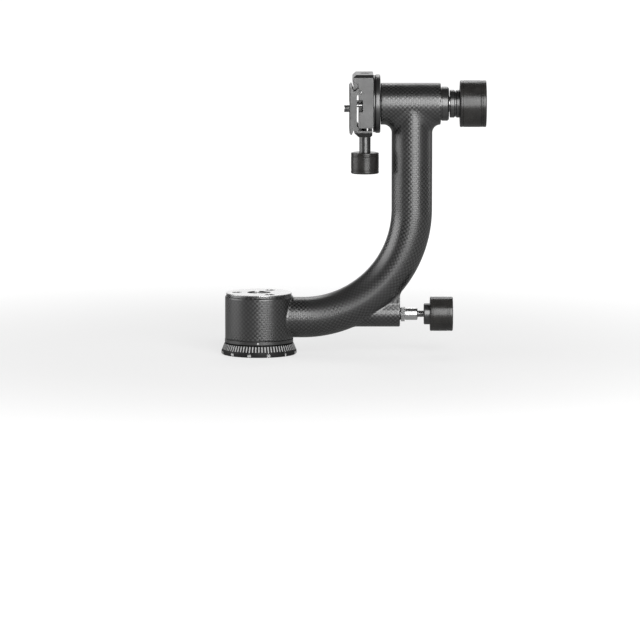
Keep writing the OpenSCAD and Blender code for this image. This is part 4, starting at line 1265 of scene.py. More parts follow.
@dataclass
class CarbonArm:
    """The one-piece arm, wrapped from the signed distances of its parts.

    Attributes:
        tube_r: radius of the tube.
        tube_stop: how far below the tilt axis the tube's centre line ends.
        bend_r: radius of the bend on the tube's centre line.
        reach: distance from the pan axis to the upright tube.
        arm_h: height of the level tube.
        tilt_h: height of the tilt axis.
        housing_r: radius of the pan housing.
        housing_z: foot of the pan housing.
        housing_h: height of the pan housing.
        step_r: radius of the step that carries the top cap.
        step_h: height of that step.
        step_rim: rounding of its rim.
        tee_r: radius of the tilt housing.
        tee_x0: near end of the tilt housing.
        tee_x1: far end of the tilt housing.
        lock_h: height of the pan lock.
        boss_r: radius of the pan lock's boss.
        boss_x: end face of the boss.
        boss_l: length of the boss, which runs out inside the tube.
        rib_r: radius of the rib above the boss.
        rib_up: height of the rib above the pan lock.
        web_inset: how much narrower than the rib the web above it is, on each side.
        web_l: how far from the boss's inner end the web starts.
        rim: rounding of the rims.
        tee_fillet: fillet between tube and tilt housing.
        housing_fillet: fillet between tube and pan housing.
        housing_fade: height over which that fillet fades to nothing at the housing's rims.
        boss_fillet: fillet between tube and boss.
        end_fillet: fillet between the boss's end face and the tube above it.
        liner_r: radius of the pan liner.
        sleeve_r: radius of the tilt sleeve.
        rod_bore_r: radius of the brake rod's bore.
        rod_x: where that bore starts, inside the housing.
        rod_end: how far before the boss's end face it ends.
        bush_r: radius of the pan lock's bush, in its bore.
        bush_l: depth of that bore.
        bore_gap: how much wider a bore is cut than the piece in it.
        pitch: spacing of the grid that the surface is wrapped from.
        smoothings: how many times the wrapped surface is smoothed.
        pull_backs: how many steps pull it back to the true surface after each of them.
        sharp_deg: angle from which its edges stay hard.
        square_on: how squarely a face must look along an axis to take the flat map.
        tow: width of a tow of the weave.
    """

    tube_r: float = 17.5
    tube_stop: float = 7.0
    bend_r: float = 94.0
    reach: float = 132.0
    arm_h: float = 31.5
    tilt_h: float = TILT_AXIS_Z
    housing_r: float = 29.3
    housing_z: float = 13.2
    housing_h: float = 37.1
    step_r: float = 28.2
    step_h: float = 1.9
    step_rim: float = 0.2
    tee_r: float = 18.0
    tee_x0: float = 105.1
    tee_x1: float = 156.6
    lock_h: float = LOCK_AXIS_Z
    boss_r: float = 11.1
    boss_x: float = 121.9
    boss_l: float = 46.0
    rib_r: float = 8.0
    rib_up: float = 7.1
    web_inset: float = 0.2
    web_l: float = 6.0
    rim: float = 0.7
    tee_fillet: float = 7.0
    housing_fillet: float = 2.2
    housing_fade: float = 2.0
    boss_fillet: float = 0.8
    end_fillet: float = 9.0
    liner_r: float = 24.0
    sleeve_r: float = 14.3
    rod_bore_r: float = 4.1
    rod_x: float = 12.0
    rod_end: float = 6.0
    bush_r: float = 4.4
    bush_l: float = 8.05
    bore_gap: float = 0.05
    pitch: float = 0.9
    smoothings: int = 3
    pull_backs: int = 2
    sharp_deg: float = 40.0
    square_on: float = 0.95
    tow: float = TOW_WIDTH

    @property
    def bend_x(self) -> float:
        """Where the level tube ends and the bend starts."""
        return self.reach - self.bend_r

    @property
    def bend_z(self) -> float:
        """Where the bend ends and the upright tube starts."""
        return self.arm_h + self.bend_r

    def housing(self, x: np.ndarray, y: np.ndarray, z: np.ndarray) -> np.ndarray:
        """Signed distance to the pan housing.

        Args:
            x: coordinates along X, in millimetres.
            y: coordinates along Y.
            z: coordinates along Z.

        Returns:
            The distances, negative inside.
        """
        out = np.hypot(x, y)
        middle = self.housing_z + self.housing_h / 2
        body = rounded(out - self.housing_r, np.abs(z - middle) - self.housing_h / 2, self.rim)
        top = self.housing_z + self.housing_h + self.step_h
        half = 3 * self.step_h
        step = rounded(out - self.step_r, np.abs(z - top + half) - half, self.step_rim)
        return np.minimum(body, step)

    def tube(self, x: np.ndarray, y: np.ndarray, z: np.ndarray) -> np.ndarray:
        """Signed distance to the bent tube.

        Args:
            x: coordinates along X, in millimetres.
            y: coordinates along Y.
            z: coordinates along Z.

        Returns:
            The distances, negative inside.
        """
        level = np.hypot(x - np.clip(x, 0, self.bend_x), z - self.arm_h)
        upright = np.hypot(x - self.reach, z - np.clip(z, self.bend_z, self.tilt_h - self.tube_stop))
        out = np.hypot(x - self.bend_x, z - self.bend_z)
        bend = np.where((x > self.bend_x) & (z < self.bend_z), np.abs(out - self.bend_r), np.inf)
        return np.hypot(np.minimum(np.minimum(level, upright), bend), y) - self.tube_r

    def tee(self, x: np.ndarray, y: np.ndarray, z: np.ndarray) -> np.ndarray:
        """Signed distance to the tilt housing."""
        middle, half = (self.tee_x0 + self.tee_x1) / 2, (self.tee_x1 - self.tee_x0) / 2
        return rounded(np.hypot(y, z - self.tilt_h) - self.tee_r, np.abs(x - middle) - half, self.rim)

    def boss(self, x: np.ndarray, y: np.ndarray, z: np.ndarray) -> np.ndarray:
        """Signed distance to the pan lock's boss with its rib.

        Args:
            x: coordinates along X, in millimetres.
            y: coordinates along Y.
            z: coordinates along Z.

        Returns:
            The distances, negative inside.
        """
        side, up = np.abs(y), z - self.lock_h
        lean = (self.boss_r - self.rib_r) / self.rib_up
        level = math.sqrt(1 - lean * lean)
        k = up * level - side * lean
        foot = np.hypot(side, up) - self.boss_r
        head = np.hypot(side, up - self.rib_up) - self.rib_r
        flank = side * level + up * lean - self.boss_r
        section = np.where(k < 0, foot, np.where(k > level * self.rib_up, head, flank))
        middle = self.boss_x - self.boss_l / 2
        return rounded(section, np.abs(x - middle) - self.boss_l / 2, self.rim)

    def web(self, x: np.ndarray, y: np.ndarray, z: np.ndarray, tube: np.ndarray) -> np.ndarray:
        """Signed distance to the web that eases the boss's end face into the tube above it.

        Args:
            x: coordinates along X, in millimetres.
            y: coordinates along Y.
            z: coordinates along Z.
            tube: signed distances to the tube.

        Returns:
            The distances, negative inside.
        """
        out = np.hypot(x - self.bend_x, z - self.bend_z)
        away = out - self.bend_r
        cosine = away / np.maximum(np.hypot(away, y), 1e-6) * (x - self.bend_x) / np.maximum(out, 1e-6)
        eased = corner_fillet(tube, x - self.boss_x, cosine, self.end_fillet)
        foot = self.lock_h + self.rib_up - z
        head = z - self.lock_h - 3 * self.rib_r
        side = np.abs(y) - self.rib_r + self.web_inset
        return np.maximum.reduce([eased, foot, head, side, self.boss_x - self.boss_l + self.web_l - x])

    def distance(self, x: np.ndarray, y: np.ndarray, z: np.ndarray) -> np.ndarray:
        """Signed distance to the whole arm, with fillets that fade where walls run together.

        Args:
            x: coordinates along X, in millimetres.
            y: coordinates along Y.
            z: coordinates along Z.

        Returns:
            The distances, negative inside.
        """
        tube = self.tube(x, y, z)
        out = tube + self.tube_r
        across = np.maximum(y * y, 1e-9)
        with_tee = across / np.maximum(out * np.hypot(y, z - self.tilt_h), 1e-6)
        whole = circular_union(tube, self.tee(x, y, z), self.tee_fillet * np.clip(1 - with_tee**2, 0, 1))
        with_housing = across / np.maximum(out * np.hypot(x, y), 1e-6)
        fillet = self.housing_fillet * np.clip(1 - with_housing, 0, 1)
        fillet = fillet * np.clip((self.housing_z + self.housing_h - z) / self.housing_fade, 0, 1)
        fillet = fillet * np.clip((z - self.housing_z) / self.housing_fade, 0, 1)
        whole = circular_union(whole, self.housing(x, y, z), fillet)
        whole = circular_union(whole, self.boss(x, y, z), self.boss_fillet)
        return np.minimum(whole, self.web(x, y, z, tube))

    def slope(self, p: np.ndarray) -> np.ndarray:
        """Unit gradient of the distance at points, one row each.

        Args:
            p: the points.

        Returns:
            The gradients, one row each.
        """
        reach = 0.02
        columns = []
        for axis in range(3):
            step = np.zeros(3)
            step[axis] = reach
            columns.append(self.distance(*(p + step).T) - self.distance(*(p - step).T))
        found = np.stack(columns, axis=1)
        return found / np.maximum(np.linalg.norm(found, axis=1, keepdims=True), 1e-9)

    def shell(self) -> bpy.types.Object:
        """The arm's outer surface as a closed mesh, before the bores are cut.

        Returns:
            The closed piece.
        """
        margin = 3 * self.pitch
        low = np.array([-self.housing_r, -self.housing_r, self.housing_z]) - margin
        high = np.array([self.tee_x1, self.housing_r, self.tilt_h + self.tee_r]) + margin
        lines = [np.arange(a, b, self.pitch) for a, b in zip(low, high)]
        x, y, z = (np.asarray(v, np.float64) for v in np.ix_(*lines))
        field = np.empty([len(v) for v in lines])
        for n, plane in enumerate(lines[0]):
            field[n] = self.distance(np.full_like(y[0] + z[0], plane), y[0] + 0 * z[0], z[0] + 0 * y[0])
        points, quads = surface_net(field, low, self.pitch)
        ends = np.concatenate([quads[:, [a, b]] for a, b in ((0, 1), (1, 2), (2, 3), (3, 0))])
        for _ in range(self.smoothings):
            total = np.zeros_like(points)
            count = np.bincount(ends.ravel(), minlength=len(points))[:, None]
            for axis in range(3):
                weights = np.concatenate([points[ends[:, 1], axis], points[ends[:, 0], axis]])
                total[:, axis] = np.bincount(
                    np.concatenate([ends[:, 0], ends[:, 1]]), weights, minlength=len(points)
                )
            points = 0.5 * points + 0.5 * total / count
            for _ in range(self.pull_backs):
                away = np.clip(self.distance(*points.T), -self.pitch / 2, self.pitch / 2)
                points = points - away[:, None] * self.slope(points)
        return mesh_piece("carbon_arm", points, quads.tolist())

    def cutters(self) -> list[bpy.types.Object]:
        """The bores of the arm, as solids to take out of it.

        Returns:
            One solid for each bore.
        """
        spill = 1.0
        top = self.housing_z + self.housing_h + self.step_h
        bores = [
            (Spindle.PAN, self.liner_r + self.bore_gap, self.housing_z - spill, top + spill),
            (Spindle.TILT, self.sleeve_r + self.bore_gap, self.tee_x0 - spill, self.tee_x1 + spill),
            (Spindle.PAN_LOCK, self.rod_bore_r, self.rod_x, self.boss_x - self.rod_end),
            (Spindle.PAN_LOCK, self.bush_r + self.bore_gap, self.boss_x - self.bush_l, self.boss_x + spill),
        ]
        return [
            revolve(f"bore_{n}", [(0, a), (r, a), (r, b), (0, b)], spindle)
            for n, (spindle, r, a, b) in enumerate(bores)
        ]

    def weave_map(self, piece: bpy.types.Object) -> None:
        """Lays the weave's map on the arm, face by face, in millimetres.

        Args:
            piece: the arm. Each face takes the map of the part it lies on.
        """
        mesh = piece.data
        points = np.empty(len(mesh.vertices) * 3)
        mesh.vertices.foreach_get("co", points)
        points = points.reshape(-1, 3) / METRES_PER_MM
        sizes = np.empty(len(mesh.polygons), int)
        mesh.polygons.foreach_get("loop_total", sizes)
        corner = np.empty(len(mesh.loops), int)
        mesh.loops.foreach_get("vertex_index", corner)
        face = np.repeat(np.arange(len(sizes)), sizes)
        p = points[corner]
        centre = np.stack([np.bincount(face, p[:, n]) for n in range(3)], axis=1) / sizes[:, None]
        near = np.abs(np.stack([f(*centre.T) for f in (self.housing, self.tube, self.tee, self.boss)]))
        kind = near.argmin(axis=0)
        u, v = np.zeros(len(p)), np.zeros(len(p))
        for n, (radius, polar) in enumerate(
            (
                (self.housing_r, self.on_housing),
                (self.tube_r, self.on_tube),
                (self.tee_r, self.on_tee),
                (self.boss_r, self.on_boss),
            )
        ):
            mine = kind[face] == n
            angle, along = polar(p[mine])
            middle, _ = polar(centre[face[mine]])
            angle = middle + (angle - middle + math.pi) % (2 * math.pi) - math.pi
            period = 2 * self.tow
            turns = round(2 * math.pi * radius / period)
            u[mine] = angle / (2 * math.pi) * turns * period
            v[mine] = along
        facing = np.empty(len(sizes) * 3)
        mesh.polygons.foreach_get("normal", facing)
        facing = np.abs(facing.reshape(-1, 3)) > self.square_on
        for flat, a, b in ((facing[:, 0] & (kind > 1), 1, 2), (facing[:, 2] & (kind == 0), 0, 1)):
            mine = flat[face]
            u[mine], v[mine] = p[mine, a], p[mine, b]
        layer = mesh.uv_layers.new(name="weave")
        layer.data.foreach_set("uv", np.stack([u, v], axis=1).ravel())

    def on_housing(self, p: np.ndarray) -> tuple[np.ndarray, np.ndarray]:
        """Angle and height on the pan housing."""
        return np.arctan2(p[:, 1], p[:, 0]), p[:, 2]

    def on_tube(self, p: np.ndarray) -> tuple[np.ndarray, np.ndarray]:
        """Angle round the tube and distance along its centre line.

        Args:
            p: points, one row each.

        Returns:
            The angles in radians, and the distances.
        """
        x, y, z = p.T
        quarter = np.clip(np.arctan2(x - self.bend_x, self.bend_z - z), 0, math.pi / 2)
        level, upright = x <= self.bend_x, z >= self.bend_z
        out = np.hypot(x - self.bend_x, z - self.bend_z) - self.bend_r
        out = np.where(level, self.arm_h - z, np.where(upright, x - self.reach, out))
        along = np.where(
            level, x, np.where(upright, z - self.bend_z + self.bend_r * math.pi / 2, self.bend_r * quarter)
        )
        return np.arctan2(y, out), np.where(level, along, along + self.bend_x)

    def on_tee(self, p: np.ndarray) -> tuple[np.ndarray, np.ndarray]:
        """Angle and distance along the tilt housing."""
        return np.arctan2(p[:, 1], p[:, 2] - self.tilt_h), p[:, 0]

    def on_boss(self, p: np.ndarray) -> tuple[np.ndarray, np.ndarray]:
        """Angle and distance along the boss."""
        return np.arctan2(p[:, 1], p[:, 2] - self.lock_h), p[:, 0]

    def build(self) -> None:
        """Wraps the arm, bores it, maps its weave and puts it in the place of its node."""
        piece = self.shell()
        cut_away(piece, self.cutters())
        shade(piece, self.sharp_deg)
        self.weave_map(piece)
        fit(piece, "arm", "carbon", WOVEN_CARBON, replaces=["arm"])


# ---------------------------------------------------------------- pan housing and tilt housing fittings


@dataclass
class PanHousingFittings:
    """What is set into the carbon pan housing: liner, cap and screws, and the index dot.

    Attributes:
        ring_r: radius of the smooth ring that carries the dot.
        dot_r: radius of the dot.
        dot_z: height of the dot.
        dot_deg: turn of the dot from the front.
        dot_sunk: how deep its paint goes into the ring.
    """

    ring_r: float = 29.6
    dot_r: float = 0.75
    dot_z: float = 11.8
    dot_deg: float = -1.0
    dot_sunk: float = 0.2

    def index_dot(self) -> bpy.types.Object:
        """The white dot that points at the scale, bent to the ring it sits on.

        Returns:
            The dot, in its place.
        """
        steps = 24
        turn = math.radians(FRONT_DEG + self.dot_deg)
        points, faces = [], []
        for depth in (-self.dot_sunk, PAINT_PROUD):
            for n in range(steps):
                a = 2 * math.pi * n / steps
                swing = turn + self.dot_r * math.cos(a) / self.ring_r
                r, z = self.ring_r + depth, self.dot_z + self.dot_r * math.sin(a)
                points.append([r * math.cos(swing), r * math.sin(swing), z])
        faces.append(list(range(steps))[::-1])
        faces.append(list(range(steps, 2 * steps)))
        for n in range(steps):
            m = (n + 1) % steps
            faces.append([n, m, steps + m, steps + n])
        return mesh_piece("index_dot", np.array(points), faces)

    def build(self) -> None:
        """Dresses the nodes and adds the dot."""
        dress(BLACK_ANODISED, Spindle.PAN, "pan_liner")
        dress(BRIGHT_CAP, Spindle.PAN, "pan_top_cap")
        dress(MATT_BLACK, Spindle.PAN, "cap_screws")
        dress(TURNED_STEEL, Spindle.PAN, "pan_outer_races")
        fit(self.index_dot(), "arm", "anodised_black", WHITE_PAINT)


class TiltHousingFittings:
    """What is set into the carbon tilt housing."""

    def build(self) -> None:
        """Dresses the nodes."""
        dress(BLACK_ANODISED, Spindle.TILT, "tilt_sleeve", "tilt_end_collar")
        dress(TURNED_STEEL, Spindle.TILT, "tilt_outer_races")


# ---------------------------------------------------------------- knobs


class Grip(Enum):
    """How the rubber of a knob is patterned."""

    DIAMOND = "fine diamond knurl"
    RIBBED = "fine rings"
    SMOOTH = "plain band"


GROOVES_FROM_NEAR_RIM = {Grip.DIAMOND: (2.6,), Grip.RIBBED: (1.65, 2.95), Grip.SMOOTH: (2.6,)}
GROOVES_FROM_FAR_RIM = {Grip.DIAMOND: (4.4, 2.9), Grip.RIBBED: (3.95, 2.65), Grip.SMOOTH: (4.4, 2.9)}


@dataclass
class KnobGrip:
    """The rubber sleeve of a knob, with a fine pattern between its end bands.

    Attributes:
        name: the piece's name.
        node: the node it stands for.
        body: the body it rides on.
        spindle: its axis.
        start: place of its near rim along the axis.
        length: its length.
        radius: its radius.
        bore: radius of its bore.
        grip: its pattern.
        sense: 1 where the axis runs away from the knob's neck, -1 where it runs towards it.
        rim: rounding of its rims.
        groove: depth of the end grooves.
        knurl: depth of the knurl.
        knurl_pitch: width of a diamond round the knob.
        ring_depth: depth of the fine rings.
        ring_pitch: distance between them.
        floor: thickness of the closed end, 0 where the sleeve is open.
    """

    name: str
    node: str
    body: str
    spindle: Spindle
    start: float
    length: float
    radius: float
    bore: float
    grip: Grip
    sense: float = 1.0
    rim: float = 0.8
    groove: float = 0.35
    knurl: float = 0.14
    knurl_pitch: float = 1.25
    ring_depth: float = 0.12
    ring_pitch: float = 0.9
    floor: float = 0.0

    @property
    def diamonds(self) -> int:
        """How many diamonds of the knurl go round the knob."""
        return round(2 * math.pi * self.radius / self.knurl_pitch)

    def grooves(self) -> list[float]:
        """Where the end grooves lie, from the near rim."""
        far = (self.length - back for back in GROOVES_FROM_FAR_RIM[self.grip])
        return [*GROOVES_FROM_NEAR_RIM[self.grip], *far]

    def profile(self) -> Profile:
        """The sleeve's closed section as (radius, along), seen from its near rim.

        Returns:
            The section's corners, counter-clockwise.
        """
        r, h = self.radius, self.length
        rim, bed, wide, narrow = self.rim, r - self.groove, 0.35, 0.15
        rim_steps = 4
        quarter = [math.pi / 2 * k / rim_steps for k in range(rim_steps + 1)]
        outline: list[tuple[float, float]] = [(self.bore, 0.0)]
        outline.extend((r - rim + rim * math.sin(a), rim - rim * math.cos(a)) for a in quarter)
        for at in self.grooves():
            outline.extend([(r, at - wide), (bed, at - narrow), (bed, at + narrow), (r, at + wide)])
        outline.extend((r - rim + rim * math.cos(a), h - rim + rim * math.sin(a)) for a in quarter)
        if self.floor:
            outline.extend([(0.0, h), (0.0, h - self.floor), (self.bore, h - self.floor)])
        else:
            outline.append((self.bore, h))
        return outline

    def relief(self, radius: np.ndarray, angle: np.ndarray, along: np.ndarray) -> np.ndarray:
        """How far the pattern cuts into the sleeve at each point.

        Args:
            radius: distances from the axis, before the relief.
            angle: turns about the axis, in radians.
            along: distances along the axis.

        Returns:
            The moves outward, none above 0.
        """
        if self.grip is Grip.SMOOTH:
            return np.zeros_like(radius)
        margin, fade = 0.5, 0.3
        here = (along - self.start) * self.sense
        first = GROOVES_FROM_NEAR_RIM[self.grip][-1]
        last = self.length - GROOVES_FROM_FAR_RIM[self.grip][0]
        rise, fall = (here - first - margin) / fade, (last - margin - here) / fade
        on_wall = radius > self.radius - WALL_TOLERANCE
        inside = np.clip(rise, 0, 1) * np.clip(fall, 0, 1) * on_wall
        if self.grip is Grip.RIBBED:
            return -self.ring_depth * np.abs((here / self.ring_pitch) % 1 * 2 - 1) * inside
        turn, travel = angle * self.diamonds / (2 * math.pi), here / self.knurl_pitch
        one = np.abs(((turn + travel) % 1) * 2 - 1)
        other = np.abs(((turn - travel) % 1) * 2 - 1)
        return -self.knurl * np.maximum(one, other) * inside

    def build(self) -> None:
        """Makes the sleeve and puts it in the place of its node."""
        outline = [(r, self.start + self.sense * a) for r, a in self.profile()]
        if self.sense < 0:
            outline = outline[::-1]
        round_steps, plain_step = 144, 4.0
        steps, step = {
            Grip.DIAMOND: (4 * self.diamonds, self.knurl_pitch / 4),
            Grip.RIBBED: (round_steps, self.ring_pitch / 4),
            Grip.SMOOTH: (round_steps, plain_step),
        }[self.grip]
        piece = revolve(self.name, outline, self.spindle, steps, step, self.relief)
        fit(piece, self.body, "rubber", KNOB_RUBBER, self.spindle, [self.node])


@dataclass
class TiltLock:
    """The tilt knob and the stepped ring that it presses on.

    Attributes:
        wall: thickness of the grip's rubber.
    """

    wall: float = GRIP_WALL

    def build(self) -> None:
        """Dresses the nodes and knurls the grip."""
        dress(BLACK_ANODISED, Spindle.TILT, "thrust_washer", "tilt_knob_core", "tilt_knob_cap")
        start, end, radius = turned_span("tilt_knob_grip")
        KnobGrip(
            "tilt_grip", "tilt_knob_grip", "tilt_knob", Spindle.TILT,
            start, end - start, radius, radius - self.wall, Grip.DIAMOND,
        ).build()


@dataclass
class ClampLock:
    """The moving jaw, its screw and its knob.

    Attributes:
        wall: thickness of the grip's rubber.
        rim: rounding of its rims.
        groove: depth of its end grooves.
        floor: thickness of its closed end.
    """

    wall: float = GRIP_WALL
    rim: float = 1.0
    groove: float = 0.25
    floor: float = 1.9

    def build(self) -> None:
        """Dresses the nodes and rings the grip."""
        dress(BLASTED_GREY, Spindle.PAN, "moving_jaw")
        dress(TURNED_STEEL, Spindle.CLAMP_SCREW, "jaw_guide_pins")
        dress(BLACK_ANODISED, Spindle.CLAMP_SCREW, "clamp_screw", "clamp_knob_core", "screw_retainer")
        foot, top, radius = turned_span("clamp_knob_grip", upright=True)
        KnobGrip(
            "clamp_grip", "clamp_knob_grip", "clamp_knob", Spindle.CLAMP_SCREW,
            top, top - foot, radius, radius - self.wall, Grip.RIBBED,
            sense=-1.0, rim=self.rim, groove=self.groove, floor=self.floor,
        ).build()


@dataclass
class PanLock:
    """The pan lock: push rod, brake pad, bush, stud and knob.

    Attributes:
        pitch: pitch of the stud's thread.
        cut: depth of that thread.
        lead_in: bevel at its start.
        plain_end: length of the stud's end without thread.
        wall: thickness of the grip's rubber.
        groove: depth of the grip's end grooves.
    """

    pitch: float = 1.0
    cut: float = 0.3
    lead_in: float = 0.4
    plain_end: float = 8.0
    wall: float = GRIP_WALL
    groove: float = 0.15

    def stud(self) -> bpy.types.Object:
        """The threaded stud that runs from the push rod into the knob.

        Returns:
            The stud, in its place.
        """
        start, end, r = turned_span("lock_stud")
        ease = self.lead_in
        outline = [(0.0, start), (r - ease, start), (r, start + ease), (r, end), (0.0, end)]
        thread = ScrewThread(r, start + ease, end - self.plain_end, self.pitch, -self.cut)
        step = self.pitch / 8
        return revolve("pan_lock_stud", outline, Spindle.PAN_LOCK, steps=48, step=step, relief=thread)

    def build(self) -> None:
        """Dresses the nodes and rounds the grip."""
        dress(TURNED_STEEL, Spindle.PAN_LOCK, "push_rod")
        dress(BRASS, Spindle.PAN_LOCK, "brake_pad")
        dress(CHROME, Spindle.PAN_LOCK, "lock_bush")
        dress(BLACK_ANODISED, Spindle.PAN_LOCK, "lock_washer", "pan_knob_core", "pan_knob_cap")
        fit(self.stud(), "pan_knob", "chrome", TURNED_STEEL, Spindle.PAN_LOCK, ["lock_stud"])
        start, end, radius = turned_span("pan_knob_grip")
        KnobGrip(
            "pan_grip", "pan_knob_grip", "pan_knob", Spindle.PAN_LOCK,
            start, end - start, radius, radius - self.wall, Grip.SMOOTH, groove=self.groove,
        ).build()


# ---------------------------------------------------------------- tilt group and plate


@dataclass
class TiltGroup:
    """What swings on the tilt axis: shaft, flange, disc and the clamp's fixed part.

    Attributes:
        end_screw_r: radius of the screw in each end of the clamp.
        end_screw_h: how far it stands out.
        glint_dot_r: radius of the bright steel dot in it, a painted highlight for the glint on the screw's
            head.
        end_gap: how far before the clamp's end face it starts.
    """

    end_screw_r: float = 1.9
    end_screw_h: float = 0.4
    glint_dot_r: float = 0.75
    end_gap: float = 0.02

    def end_screw(self, side: int) -> None:
        """Puts a cupped black screw on one end of the clamp, with a bright steel dot in its middle as a
        painted highlight for the glint on its head.

        Args:
            side: -1 for the near end, 1 for the far one.
        """
        r, h, point = self.end_screw_r, self.end_screw_h, self.glint_dot_r
        rim, cup_floor, clear, crown = 0.15, 0.1, 0.01, 0.2
        cup = [
            (0.0, 0.0), (r, 0.0), (r, h - rim), (r - rim, h),
            (point + 2 * rim, h), (point + rim, cup_floor), (0.0, cup_floor),
        ]
        foot = cup_floor + clear
        # The bright steel dot is a painted highlight: it stands for the glint on the screw's head.
        dot = [(0.0, foot), (point, foot), (point, h - rim), (point - crown, h), (0.0, h)]
        low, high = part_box("clamp_body")
        face = self.end_gap + (high.y - low.y) / 2 / METRES_PER_MM
        name = "front" if side < 0 else "back"
        # The point piece is the painted highlight; the screw piece is the black cup around it.
        for part, outline, finish, slot in (
            ("screw", cup, BLACK_ANODISED, "anodised_black"), ("point", dot, TURNED_STEEL, "steel")
        ):
            placed = [(radius, side * (face + along)) for radius, along in outline][::side]
            piece = revolve(f"clamp_{name}_{part}", placed, Spindle.CLAMP_END, steps=36)
            fit(piece, "tilt_group", slot, finish, Spindle.CLAMP_END)

    def build(self) -> None:
        """Dresses the nodes and sets the end screws."""
        self.end_screw(-1)
        self.end_screw(1)
        dress(TURNED_STEEL, Spindle.TILT, "tilt_shaft", "flange_bolt", "tilt_inner_races")
        dress(TURNED_STEEL, Spindle.TILT, "tilt_spacer", "shaft_circlip", "clamp_bolts")
        dress(CHROME, Spindle.TILT, "tilt_balls")
        dress(BLACK_ANODISED, Spindle.TILT, "tilt_flange")
        dress(SATIN_DISC, Spindle.TILT, "flange_disc")
        dress(BLASTED_GREY, Spindle.PAN, "clamp_body")


@dataclass
class QuickPlate:
    """The quick-release plate with its pads, stops and screw.

    Attributes:
        screw_r: radius of the 1/4 inch thread.
        neck_r: radius of the neck that turns in the plate.
        head_r: radius of the head.
        head_t: thickness of the head.
        slot_w: width of the slot in the head.
        slot_d: depth of the slot.
        pitch: pitch of the thread, 20 to the inch.
    """

    screw_r: float = 3.175
    neck_r: float = 2.575
    head_r: float = 6.5
    head_t: float = 2.2
    slot_w: float = 1.2
    slot_d: float = 1.1
    pitch: float = 1.27

    def screw(self) -> bpy.types.Object:
        """The captive 1/4 inch screw with its thread and slot.

        Returns:
            The screw, in its place.
        """
        start, end, _ = turned_span("camera_screw")
        shoulder, _, _ = turned_span("quick_plate")
        r, neck, head, under = self.screw_r, self.neck_r, self.head_r, end - self.head_t
        ease, lead_in, cut, spill, half = 0.25, 0.5, 0.45, 1.0, self.slot_w / 2
        outline = [
            (0.0, start), (r - lead_in, start), (r, start + lead_in), (r, shoulder), (neck, shoulder),
            (neck, under), (head - ease, under), (head, under + ease),
            (head, end - ease), (head - ease, end), (0.0, end),
        ]
        thread = ScrewThread(r, start + lead_in, shoulder, self.pitch, -cut)
        step = self.pitch / 8
        piece = revolve(
            "captive_screw", outline, Spindle.CAMERA_SCREW, steps=60, step=step, relief=thread
        )
        low = (end - self.slot_d, -head - spill, PLATE_SCREW_Z - half)
        slot = block("slot", low, (end + spill, head + spill, PLATE_SCREW_Z + half))
        cut_away(piece, [slot])
        shade(piece)
        return piece

    def build(self) -> None:
        """Dresses the nodes and threads the screw."""
        dress(BLASTED_GREY, Spindle.PAN, "quick_plate")
        dress(PAD_RUBBER, Spindle.PAN, "plate_pads")
        dress(TURNED_STEEL, Spindle.TILT, "plate_stop_pins")
        screw = self.screw()
        fit(screw, "camera_screw_body", "steel", TURNED_STEEL, Spindle.CAMERA_SCREW, ["camera_screw"])


# ---------------------------------------------------------------- studio


@dataclass
class Softbox:
    """A rectangular lamp that faces the head.

    Attributes:
        name: its name.
        azimuth_deg: where it stands, from the camera's side towards +X.
        elevation_deg: how high it stands.
        distance: its distance in metres.
        width: its width in metres.
        height: its height in metres.
        radiance: how bright its face is, where 1 is white.
    """

    name: str
    azimuth_deg: float
    elevation_deg: float
    distance: float
    width: float
    height: float
    radiance: float

    def build(self, aim: Vector) -> None:
        """Hangs the lamp and turns it to a point in metres.

        Args:
            aim: the point.
        """
        lamp = bpy.data.lights.new(self.name, "AREA")
        lamp.shape = "RECTANGLE"
        lamp.size, lamp.size_y = self.width, self.height
        lamp.energy = math.pi * self.width * self.height * self.radiance
        a, e = math.radians(self.azimuth_deg), math.radians(self.elevation_deg)
        away = Vector((math.sin(a) * math.cos(e), -math.cos(a) * math.cos(e), math.sin(e)))
        holder = bpy.data.objects.new(self.name, lamp)
        holder.location = aim + away * self.distance
        holder.rotation_mode = "QUATERNION"
        holder.rotation_quaternion = (-away).to_track_quat("-Z", "Y")
        bpy.context.scene.collection.objects.link(holder)


